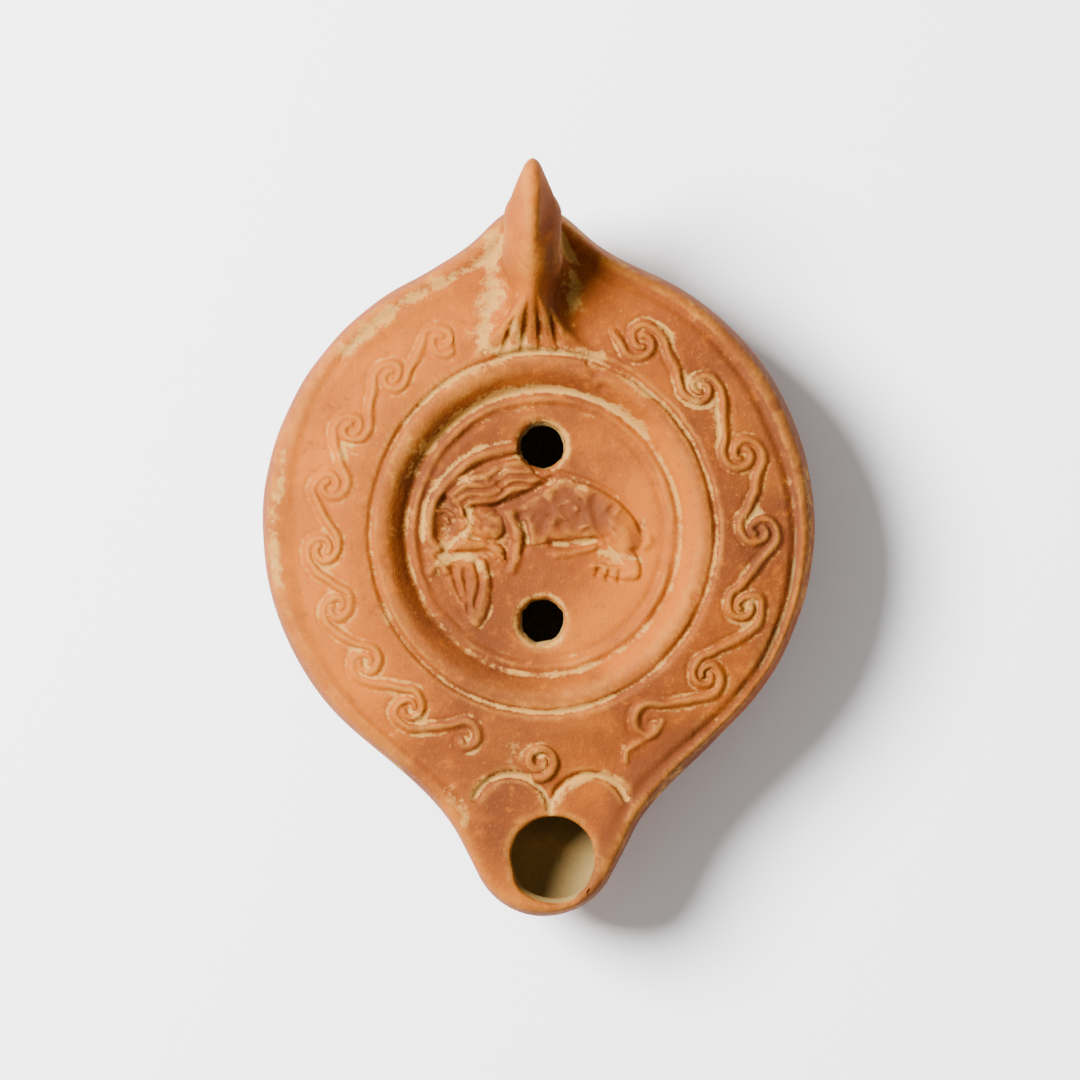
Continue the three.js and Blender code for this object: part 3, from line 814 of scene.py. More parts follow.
class Value:
    """A node's socket that can be used in sums."""

    def __init__(self, graph: "Graph", socket: bpy.types.NodeSocket) -> None:
        """Wrap a socket.

        Args:
            graph: The graph it belongs to.
            socket: An output socket.
        """
        self.graph = graph
        self.socket = socket

    def sum(self, operation: str, *others: Any, clamp: bool = False) -> "Value":
        """Add a Math node that starts from this value.

        Args:
            operation: The node's operation.
            others: Its other inputs.
            clamp: Whether to keep the answer between 0 and 1.

        Returns:
            The answer.
        """
        inputs = dict(enumerate((self, *others)))
        return self.graph.add("ShaderNodeMath", {"operation": operation, "use_clamp": clamp}, inputs)

    def __add__(self, other: Any) -> "Value":
        """Add."""
        return self.sum("ADD", other)

    __radd__ = __add__

    def __mul__(self, other: Any) -> "Value":
        """Multiply."""
        return self.sum("MULTIPLY", other)

    __rmul__ = __mul__

    def __sub__(self, other: Any) -> "Value":
        """Subtract."""
        return self.sum("SUBTRACT", other)

    def __rsub__(self, other: float) -> "Value":
        """Subtract from a number."""
        return self.graph.add("ShaderNodeMath", {"operation": "SUBTRACT"}, {0: other, 1: self})

    def __truediv__(self, other: Any) -> "Value":
        """Divide."""
        return self.sum("DIVIDE", other)

    def __pow__(self, power: float) -> "Value":
        """Raise to a power."""
        return self.sum("POWER", power)

    def ease(self, low: float, high: float) -> "Value":
        """Ease from 0 at low to 1 at high; a low above high makes it fall.

        Args:
            low: Start of the range.
            high: End of the range.

        Returns:
            The eased share.
        """
        share = ((self - low) / (high - low)).sum("MULTIPLY", 1.0, clamp=True)
        return share * share * (3 - 2 * share)


class Graph:
    """A tree of nodes with one way to add any of them."""

    def __init__(self, tree: bpy.types.NodeTree) -> None:
        """Start on a tree.

        Args:
            tree: The tree to add nodes to.
        """
        self.tree = tree

    def add(self, kind: str, settings: dict[str, Any] | None = None,
            inputs: dict[Any, Any] | None = None, output: Any = 0) -> Value:
        """Add a node.

        Args:
            kind: The node's type.
            settings: Its properties.
            inputs: Values or links for its sockets, by name or place.
            output: Which of its shown outputs to return.

        Returns:
            That output.
        """
        node = self.tree.nodes.new(kind)
        for name, value in (settings or {}).items():
            setattr(node, name, value)
        for name, value in (inputs or {}).items():
            self.feed(self.find(node.inputs, name), value)
        return Value(self, self.find(node.outputs, output))

    @staticmethod
    def find(sockets: Any, key: Any) -> bpy.types.NodeSocket:
        """Find a shown socket.

        Args:
            sockets: A node's inputs or outputs.
            key: Its name, or its place among the shown ones.

        Returns:
            The socket.
        """
        shown = [socket for socket in sockets if socket.enabled]
        if isinstance(key, int):
            return shown[key]
        return next(socket for socket in shown if socket.name == key)

    def feed(self, socket: bpy.types.NodeSocket, value: Any) -> None:
        """Set or link a socket.

        Args:
            socket: An input socket.
            value: A value, or something to link from.
        """
        if isinstance(value, Value):
            self.tree.links.new(value.socket, socket)
        else:
            socket.default_value = value

    def mix(self, share: Any, first: Any, second: Any) -> Value:
        """Mix two colours.

        Args:
            share: How much of the second.
            first: First colour.
            second: Second colour.

        Returns:
            The mixed colour.
        """
        settings = {"data_type": "RGBA", "blend_type": "MIX", "clamp_factor": True}
        return self.add("ShaderNodeMix", settings, {"Factor": share, "A": first, "B": second})

    def noise(self, place: Value, scale: float, detail: float = 3.0, rough: float = 0.55,
              warp: float = 0.0) -> Value:
        """Add a noise.

        Args:
            place: Where to read it.
            scale: Features for each metre.
            detail: Octaves.
            rough: Strength of the finer octaves.
            warp: Distortion.

        Returns:
            A value around 0.5.
        """
        inputs = {"Vector": place, "Scale": scale, "Detail": detail, "Roughness": rough, "Distortion": warp}
        return self.add("ShaderNodeTexNoise", {"noise_dimensions": "3D"}, inputs)


@dataclass
class ScrollRelief:
    """Raises the running scrolls of the shoulder from the lamp's own surface with a node tree."""

    band_radius: float = 34.5
    eye_radius: float = 0.85
    hook_turn: float = 248.0
    half_width: float = 0.84
    height: float = 0.5
    line_points: int = 61
    straight_share: float = 0.24
    tightening: float = 0.72
    stray: float = 2.2
    attribute: str = "scroll"
    kept_plain: str = "plain"
    bands: tuple[ScrollBand, ...] = (
        ScrollBand(9, 116.8, 16.6, 2.75, Lean.ANTICLOCKWISE, 3.0),
        ScrollBand(7, 62.5, -20.5, 3.3, Lean.CLOCKWISE, 8.0))

    SIZES = ("Count", "First", "Pitch", "Way", "Band Radius", "Hook Radius", "Eye Radius",
             "Hook Turn", "Half Width", "Height", "Seed")

    def tree(self) -> bpy.types.NodeTree:
        """Build the tree.

        Returns:
            A geometry tree with named inputs for its sizes.
        """
        tree = bpy.data.node_groups.new("running scroll", "GeometryNodeTree")
        tree.interface.new_socket("Geometry", in_out="INPUT", socket_type="NodeSocketGeometry")
        for name in self.SIZES:
            tree.interface.new_socket(name, in_out="INPUT", socket_type="NodeSocketFloat")
        tree.interface.new_socket("Material", in_out="INPUT", socket_type="NodeSocketMaterial")
        tree.interface.new_socket("Geometry", in_out="OUTPUT", socket_type="NodeSocketGeometry")
        graph = Graph(tree)
        entry = tree.nodes.new("NodeGroupInput")
        given = {socket.name: Value(graph, socket) for socket in entry.outputs if socket.name}
        lamp = given["Geometry"]
        line = self.scroll_line(graph, given)
        chain = self.place_round(graph, given, line, lamp)
        raised = self.raise_clay(graph, given, lamp, chain)
        solid = graph.add("GeometryNodeRealizeInstances", inputs={0: raised})
        inputs = {"Geometry": solid, "Material": given["Material"]}
        dressed = graph.add("GeometryNodeSetMaterial", inputs=inputs)
        leave = tree.nodes.new("NodeGroupOutput")
        tree.links.new(dressed.socket, leave.inputs[0])
        return tree

    def scroll_line(self, graph: Graph, given: dict[str, Value]) -> Value:
        """Draw one scroll, wrapped on the shoulder's circle with its end hook at angle 0.

        Args:
            graph: The tree.
            given: The tree's inputs.

        Returns:
            A mesh line in the shape of an S with hooked ends.
        """
        line = graph.add("GeometryNodeMeshLine", {"mode": "OFFSET"}, {"Count": self.line_points})
        index = graph.add("GeometryNodeInputIndex")
        along = index * (2 / (self.line_points - 1)) - 1
        half = along.sum("SIGN")
        share = along.sum("ABSOLUTE")
        straight = self.straight_share
        run = given["Band Radius"] * given["Pitch"].sum("ABSOLUTE") * math.radians(1)
        lean = (2 * given["Hook Radius"] / run).sum("ARCSINE")
        in_hook = ((share - straight) / (1 - straight)).sum("MAXIMUM", 0.0)
        to_hook = (share / straight).sum("MINIMUM", 1.0)
        turn = in_hook * given["Hook Turn"] * math.radians(1) - lean - math.pi / 2
        tightened = in_hook ** self.tightening
        radius = given["Hook Radius"] + (given["Eye Radius"] - given["Hook Radius"]) * tightened
        ahead = to_hook * (radius * turn.sum("COSINE") + run / 2)
        out = to_hook * radius * turn.sum("SINE")
        angle = given["Way"] * (half * ahead - run / 2) / given["Band Radius"]
        reach = given["Band Radius"] + half * out
        ways = {0: reach * angle.sum("COSINE"), 1: reach * angle.sum("SINE")}
        place = graph.add("ShaderNodeCombineXYZ", inputs=ways)
        return graph.add("GeometryNodeSetPosition", inputs={"Geometry": line, "Position": place})

    def place_round(self, graph: Graph, given: dict[str, Value], line: Value, lamp: Value) -> Value:
        """Repeat the scroll round the shoulder and lay it on the clay.

        Args:
            graph: The tree.
            given: The tree's inputs.
            line: One scroll.
            lamp: The lamp's mesh.

        Returns:
            The chain of scrolls as mesh lines.
        """
        inputs = {"Count": given["Count"], "Offset": (0, 0, 0)}
        spots = graph.add("GeometryNodeMeshLine", {"mode": "OFFSET"}, inputs)
        angle = (graph.add("GeometryNodeInputIndex") * given["Pitch"] + given["First"]) * math.radians(1)
        turn = graph.add("ShaderNodeCombineXYZ", inputs={2: angle})
        inputs = {"Points": spots, "Instance": line, "Rotation": turn}
        chain = graph.add("GeometryNodeInstanceOnPoints", inputs=inputs)
        chain = graph.add("GeometryNodeRealizeInstances", inputs={0: chain})
        place = graph.add("GeometryNodeInputPosition")
        settings = {"noise_dimensions": "4D"}
        inputs = {"Vector": place, "W": given["Seed"], "Scale": 150.0, "Detail": 1.0}
        stray = graph.add("ShaderNodeTexNoise", settings, inputs, "Color")
        stray = graph.add("ShaderNodeVectorMath", {"operation": "SUBTRACT"}, {0: stray, 1: (0.5, 0.5, 0.5)})
        inputs = {0: stray, "Scale": self.stray * MILLIMETRE}
        stray = graph.add("ShaderNodeVectorMath", {"operation": "SCALE"}, inputs)
        above = 0.06
        start = graph.add("ShaderNodeVectorMath", {"operation": "ADD"}, {0: place, 1: stray})
        start = graph.add("ShaderNodeVectorMath", {"operation": "ADD"}, {0: start, 1: (0, 0, above)})
        inputs = {"Target Geometry": lamp, "Source Position": start,
                  "Ray Direction": (0, 0, -1), "Ray Length": above}
        landing = graph.add("GeometryNodeRaycast", inputs=inputs, output="Hit Position")
        return graph.add("GeometryNodeSetPosition", inputs={"Geometry": chain, "Position": landing})

    def raise_clay(self, graph: Graph, given: dict[str, Value], lamp: Value, chain: Value) -> Value:
        """Lift the clay along the chain, a little unevenly, and note how far each point is from it.

        Args:
            graph: The tree.
            given: The tree's inputs.
            lamp: The lamp's mesh.
            chain: The chain of scrolls.

        Returns:
            The lamp's mesh with the raised scrolls.
        """
        inputs = {0: chain}
        distance = graph.add("GeometryNodeProximity", {"target_element": "EDGES"}, inputs, "Distance")
        place = graph.add("GeometryNodeInputPosition")
        settings = {"noise_dimensions": "4D"}
        inputs = {"Vector": place, "W": given["Seed"], "Scale": 260.0, "Detail": 2.0}
        wander = graph.add("ShaderNodeTexNoise", settings, inputs) - 0.5
        inputs = {"Vector": place, "W": given["Seed"], "Scale": 75.0, "Detail": 1.0}
        worn = graph.add("ShaderNodeTexNoise", settings, inputs) - 0.5
        named = {"data_type": "FLOAT"}
        plain = graph.add("GeometryNodeInputNamedAttribute", named, {"Name": self.kept_plain})
        width = given["Half Width"] * (1 + 0.8 * wander)
        share = distance / width + 9 * plain
        crest = 1 - share.ease(0.1, 1.1)
        beside = 1 - ((share - 1.45).sum("ABSOLUTE")).ease(0.0, 0.6)
        lift = given["Height"] * (crest * (1 + 1.6 * worn) - 0.25 * beside)
        offset = graph.add("ShaderNodeCombineXYZ", inputs={2: lift})
        raised = graph.add("GeometryNodeSetPosition", inputs={"Geometry": lamp, "Offset": offset})
        known = graph.add("GeometryNodeInputNamedAttribute", named, {"Name": self.attribute})
        nearer = share.sum("MINIMUM", known)
        settings = {"data_type": "FLOAT", "domain": "POINT"}
        inputs = {"Geometry": raised, "Name": self.attribute, "Value": nearer}
        return graph.add("GeometryNodeStoreNamedAttribute", settings, inputs)

    def apply(self, lamp: bpy.types.Object, material: bpy.types.Material) -> None:
        """Raise each band on the lamp and keep the result as its plain mesh.

        Args:
            lamp: The lamp, whose marks say where it is kept plain.
            material: Its finish.
        """
        marks = lamp.data.attributes.new(self.attribute, "FLOAT", "POINT")
        marks.data.foreach_set("value", np.full(len(lamp.data.vertices), 9.0, np.float32))
        tree = self.tree()
        sockets = {item.name: item.identifier for item in tree.interface.items_tree if item.in_out == "INPUT"}
        for band in self.bands:
            modifier = lamp.modifiers.new("running scroll", "NODES")
            modifier.node_group = tree
            sizes = (band.count, band.first, band.pitch, band.lean.value, self.band_radius * MILLIMETRE,
                     band.hook_radius * MILLIMETRE, self.eye_radius * MILLIMETRE, self.hook_turn,
                     self.half_width * MILLIMETRE, self.height * MILLIMETRE, band.seed)
            for name, size in zip(self.SIZES, sizes):
                modifier[sockets[name]] = float(size)
            modifier[sockets["Material"]] = material
        evaluated = lamp.evaluated_get(bpy.context.evaluated_depsgraph_get())
        made = bpy.data.meshes.new_from_object(evaluated)
        lamp.modifiers.clear()
        lamp.data = made
        log.info("scrolls raised: %d points", len(made.vertices))


@dataclass(frozen=True)
class Mass:
    """A raised form of the picture, with a soft edge inside a smooth outline in shares of its length."""

    corners: tuple[tuple[float, float], ...]
    high: float
    soft: float


@dataclass(frozen=True)
class Stroke:
    """A modelled line of the picture: points in shares of its length; a groove has a negative height."""

    points: tuple[tuple[float, float], ...]
    wide: float
    high: float


@dataclass
class TopRelief:
    """The fine mouldings, the picture, the spiral and heart, and the dents, as heights over the top."""

    body: BodyForm
    length: float = 31.0
    relief: float = 1.3
    lock_pitch: float = 0.047
    lock_depth: float = 0.13
    lumps: int = 240
    lump_height: float = 0.34
    spiral_x: float = -0.3
    spiral_y: float = -35.9
    spiral_radius: float = 2.8
    spiral_eye: float = 0.75
    spiral_turn: float = 470.0
    spiral_start: float = -100.0
    spiral_height: float = 0.75
    heart_cusp_x: float = 1.5
    heart_cusp_y: float = -43.9
    lobe_width: float = 12.4
    lobe_height: float = 5.9
    groove_half_width: float = 1.05
    groove_depth: float = 0.75
    tail_height: float = 0.42
    tail_half_width: float = 0.85
    dent_depth: float = 0.55
    # The mane's place in the list of masses.
    mane: int = 1
    # Turned lines round the disc: radius, half width and height.
    turned: tuple[tuple[float, float, float], ...] = (
        (19.6, 1.0, -0.12), (20.9, 1.3, 0.38), (22.4, 1.0, -0.3), (27.9, 0.9, -0.5), (29.1, 0.8, 0.1))
    # The border line on the shoulder: direction in degrees, distance from the outline and depth.
    border: tuple[tuple[float, float, float], ...] = (
        (-150, 4.4, 0.15), (-122, 3.4, 0.4), (-107, 3.4, 0.35), (-100, 3.4, 0.0), (-77, 3.0, 0.0),
        (-70, 2.9, 0.45), (-60, 2.7, 0.6), (-32, 2.2, 1.0), (0, 3.3, 0.85), (22, 4.1, 0.7), (60, 3.3, 0.5),
        (90, 3.0, 0.5), (135, 2.9, 0.6), (150, 3.4, 0.25), (180, 5.6, 0.12))
    border_half_width: float = 1.3
    # Ends of scrolls that leave the band.
    tails: tuple[tuple[tuple[float, float], ...], ...] = (
        ((19.2, -29.6), (18.25, -31.6), (15.6, -32.9), (13.7, -34.2), (13.4, -35.8)),)
    dents: tuple[tuple[float, float, float], ...] = (
        (8.6, 25.5, 1.3), (9.9, 23.4, 1.2), (-24.9, -4.0, 0.9), (7.6, 27.2, 0.8), (-8.9, 28.9, 0.8),
        (24.4, -9.8, 1.0))
    masses: tuple[Mass, ...] = (
        Mass(((0.05, 0.29), (0.17, 0.28), (0.29, 0.235), (0.4, 0.165), (0.475, 0.09), (0.515, 0.0),
              (0.51, -0.06), (0.45, -0.09), (0.37, -0.06), (0.28, -0.02), (0.15, -0.025), (0.05, -0.04),
              (-0.05, -0.06), (-0.14, -0.03), (-0.2, 0.06), (-0.22, 0.15), (-0.08, 0.22)), 0.72, 0.085),
        Mass(((-0.1, 0.4), (-0.02, 0.31), (0.04, 0.27), (-0.08, 0.205), (-0.23, 0.15), (-0.35, 0.13),
              (-0.43, 0.16), (-0.49, 0.2), (-0.45, 0.27), (-0.33, 0.34), (-0.2, 0.39)), 0.82, 0.06),
        Mass(((-0.34, 0.14), (-0.24, 0.14), (-0.18, 0.08), (-0.19, 0.0), (-0.27, -0.04), (-0.35, 0.0),
              (-0.37, 0.08)), 0.85, 0.06),
        Mass(((0.33, 0.13), (0.43, 0.09), (0.48, 0.02), (0.49, -0.06), (0.42, -0.11), (0.34, -0.04),
              (0.3, 0.05)), 0.92, 0.075),
        Mass(((0.37, -0.06), (0.47, -0.08), (0.51, -0.15), (0.5, -0.225), (0.42, -0.235), (0.33, -0.21),
              (0.25, -0.17), (0.27, -0.14), (0.36, -0.15), (0.42, -0.145)), 0.62, 0.03),
        Mass(((-0.42, -0.02), (-0.34, -0.02), (-0.25, -0.03), (-0.19, -0.07), (-0.185, -0.13), (-0.23, -0.12),
              (-0.27, -0.08), (-0.36, -0.085), (-0.46, -0.08)), 0.75, 0.035),
        Mass(((-0.54, -0.13), (-0.45, -0.13), (-0.38, -0.105), (-0.29, -0.115), (-0.26, -0.19), (-0.25, -0.3),
              (-0.27, -0.39), (-0.31, -0.47), (-0.36, -0.46), (-0.42, -0.36), (-0.48, -0.26)), 0.7, 0.05),
    )
    strokes: tuple[Stroke, ...] = (
        # Contours of the mane, back and belly, and the forms of head, tail and legs.
        Stroke(((-0.11, 0.45), (-0.33, 0.39), (-0.47, 0.27), (-0.555, 0.14), (-0.57, 0.0), (-0.53, -0.07)),
               0.022, 0.62),
        Stroke(((-0.1, 0.405), (-0.3, 0.345), (-0.44, 0.255), (-0.49, 0.19)), 0.014, -0.35),
        Stroke(((0.05, 0.335), (0.17, 0.3), (0.29, 0.253), (0.4, 0.185), (0.48, 0.1), (0.53, 0.0)),
               0.012, -0.3),
        Stroke(((0.06, 0.285), (-0.04, 0.22), (-0.18, 0.155), (-0.33, 0.13)), 0.02, -0.5),
        Stroke(((-0.15, 0.1), (-0.12, 0.0), (-0.12, -0.08), (-0.15, -0.17)), 0.024, 0.5),
        Stroke(((-0.085, 0.06), (-0.07, -0.02), (-0.09, -0.09)), 0.014, -0.4),
        Stroke(((0.06, -0.045), (0.16, -0.06), (0.28, -0.03)), 0.018, -0.45),
        Stroke(((0.08, -0.1), (0.17, -0.085), (0.27, -0.06)), 0.018, 0.4),
        Stroke(((0.53, 0.0), (0.56, -0.03), (0.53, -0.06)), 0.016, 0.35),
        Stroke(((-0.5, 0.16), (-0.475, 0.09), (-0.5, 0.01)), 0.03, -0.45),
        Stroke(((-0.485, 0.085), (-0.475, 0.065)), 0.011, 0.5),
        Stroke(((-0.52, 0.12), (-0.49, 0.125), (-0.455, 0.1)), 0.011, 0.4),
        Stroke(((-0.45, 0.17), (-0.41, 0.14), (-0.405, 0.1)), 0.012, 0.45),
        Stroke(((-0.41, 0.12), (-0.385, 0.08), (-0.395, 0.04)), 0.012, 0.4),
        Stroke(((-0.38, 0.07), (-0.36, 0.03), (-0.38, -0.01)), 0.012, 0.4),
        # Ribs, shoulder and haunch.
        Stroke(((0.0, 0.2), (0.03, 0.11), (0.0, 0.02)), 0.02, -0.13),
        Stroke(((0.09, 0.21), (0.12, 0.12), (0.1, 0.03)), 0.018, -0.12),
        Stroke(((0.17, 0.2), (0.2, 0.12), (0.19, 0.05)), 0.018, -0.1),
        Stroke(((0.27, 0.18), (0.28, 0.1), (0.31, 0.02), (0.36, -0.04)), 0.02, -0.22),
        Stroke(((-0.1, 0.16), (-0.12, 0.1), (-0.09, 0.04)), 0.018, -0.2),
        # Toes.
        Stroke(((0.3, -0.175), (0.285, -0.205)), 0.01, -0.4),
        Stroke(((0.35, -0.185), (0.34, -0.225)), 0.01, -0.4),
        Stroke(((0.405, -0.19), (0.4, -0.235)), 0.01, -0.4),
        Stroke(((-0.16, -0.13), (-0.175, -0.17)), 0.009, -0.35),
        Stroke(((-0.56, -0.1), (-0.54, -0.15), (-0.57, -0.19)), 0.018, 0.45),
        Stroke(((-0.33, -0.14), (-0.31, -0.25), (-0.335, -0.36)), 0.013, -0.45),
        Stroke(((-0.45, -0.17), (-0.43, -0.26), (-0.4, -0.33)), 0.013, -0.4),
        Stroke(((-0.39, -0.18), (-0.38, -0.28), (-0.37, -0.4)), 0.012, -0.35),
        Stroke(((-0.6, -0.2), (-0.56, -0.33), (-0.41, -0.47)), 0.012, -0.25),
    )

    def spiral(self, x: np.ndarray, y: np.ndarray) -> np.ndarray:
        """Measure to the centre line of the small spiral.

        Args:
            x: Places along X.
            y: Places along Y.

        Returns:
            The distance.
        """
        count = 60
        share = np.linspace(0, 1, count)
        turn = np.radians(self.spiral_start + share * self.spiral_turn)
        radius = self.spiral_radius + (self.spiral_eye - self.spiral_radius) * share
        line = np.stack([self.spiral_x + radius * np.cos(turn), self.spiral_y + radius * np.sin(turn)], 1)
        return line_distance(x, y, line)

    def heart(self, x: np.ndarray, y: np.ndarray) -> np.ndarray:
        """Measure to the groove over the heart's two lobes.

        Args:
            x: Places along X.
            y: Places along Y.

        Returns:
            The distance.
        """
        nearest = np.full(x.shape, 1e9)
        for side in (-1, 1):
            turn = np.radians(np.linspace(22, 176, 18))
            line = np.stack([
                self.heart_cusp_x + side * 0.5 * self.lobe_width * (1 + np.cos(turn)),
                self.heart_cusp_y + self.lobe_height * np.sin(turn)], 1)
            nearest = np.minimum(nearest, line_distance(x, y, line))
        return nearest

    def picture(self, x: np.ndarray, y: np.ndarray) -> np.ndarray:
        """Give the height of the beast and its prey over the disc.

        Args:
            x: Places along X.
            y: Places along Y.

        Returns:
            The height, in millimetres.
        """
        u, v = x / self.length, y / self.length
        height = np.zeros_like(u)
        for mass in self.masses:
            rim = closed_curve(np.array(mass.corners))
            deep = inside_distance(u, v, rim)
            rise = np.sqrt(np.clip(1 - (1 - np.clip(deep / mass.soft, 0, 1)) ** 2, 0, 1))
            height = -soft_min(-height, -mass.high * rise, 0.1)
        mane_rim = closed_curve(np.array(self.masses[self.mane].corners))
        mane = np.clip(inside_distance(u, v, mane_rim) / 0.03, 0, 1)
        along, across = u * 0.95 + v * 0.31, v * 0.95 - u * 0.31
        locks = np.sin(2 * np.pi * (across / self.lock_pitch + 0.35 * np.sin(along * 27)))
        height = height + self.lock_depth * mane * locks
        standing = smoothstep(0.2, 0.6, height)
        for stroke in self.strokes:
            near = line_distance(u, v, curve_through(np.array(stroke.points)))
            height = height + stroke.high * bump(near, 2 * stroke.wide)
        return (height + standing * self.wear(u, v)) * self.relief

    def wear(self, u: np.ndarray, v: np.ndarray) -> np.ndarray:
        """Give the small lumps and pits of the worn picture.

        Args:
            u: Places along X, as shares of the picture's length.
            v: Places along Y, likewise.

        Returns:
            The height, as a share of the relief.
        """
        random = np.random.default_rng(57)
        height = np.zeros_like(u)
        for _ in range(self.lumps):
            place_u, place_v = random.uniform(-0.56, 0.54), random.uniform(-0.46, 0.42)
            long, wide = random.uniform(0.022, 0.06), random.uniform(0.012, 0.03)
            turn = random.uniform(-0.9, 0.9)
            high = self.lump_height * random.uniform(-1.0, 0.8)
            along = (u - place_u) * math.cos(turn) + (v - place_v) * math.sin(turn)
            across = (v - place_v) * math.cos(turn) - (u - place_u) * math.sin(turn)
            height = height + high * bump(np.hypot(along / long, across / wide), 1.0)
        return height

    def border_line(self, x: np.ndarray, y: np.ndarray) -> np.ndarray:
        """Give the depth of the border line that follows the outline.

        Args:
            x: Places along X.
            y: Places along Y.

        Returns:
            The depth, in millimetres.
        """
        turn, inset, depth = np.array(self.border).T
        way = np.degrees(np.arctan2(y - self.body.centre_y, x - self.body.centre_x))
        off = -self.body.plan(x, y) - np.interp(way, turn, inset, period=360)
        return np.interp(way, turn, depth, period=360) * bump(off, self.border_half_width)

    def height(self, x: np.ndarray, y: np.ndarray) -> np.ndarray:
        """Give all the relief of the top but the running scrolls.

        Args:
            x: Places along X.
            y: Places along Y.

        Returns:
            The height to add, in millimetres.
        """
        radius = np.hypot(x, y)
        on_disc = smoothstep(20, 18.5, radius)
        places = np.stack([x, y], -1)
        worn = 1 + 0.13 * Ripple(31, 5.5).at(places) + 0.04 * Ripple(33, 2.1).at(places)
        height = on_disc * (self.picture(x, y) * worn + 0.02 * Ripple(36, 2.6).at(places))
        ring = self.body.ring_radius(x, y) + 0.12 * Ripple(41, 9).at(places)
        faded = 1 + 0.45 * Ripple(47, 16).at(places)
        for line, wide, high in self.turned:
            height = height + high * bump(ring - line, wide) * worn * faded
        height = height - self.border_line(x, y) * worn
        ridge = 1 - smoothstep(0.35, 0.95, self.spiral(x, y))
        height = height + self.spiral_height * ridge * worn
        height = height - self.groove_depth * bump(self.heart(x, y), self.groove_half_width) * worn
        for tail in self.tails:
            near = line_distance(x, y, curve_through(np.array(tail)))
            height = height + self.tail_height * bump(near, self.tail_half_width) * worn
        for dent_x, dent_y, size in self.dents:
            height = height - self.dent_depth * bump(np.hypot(x - dent_x, y - dent_y), size)
        return height


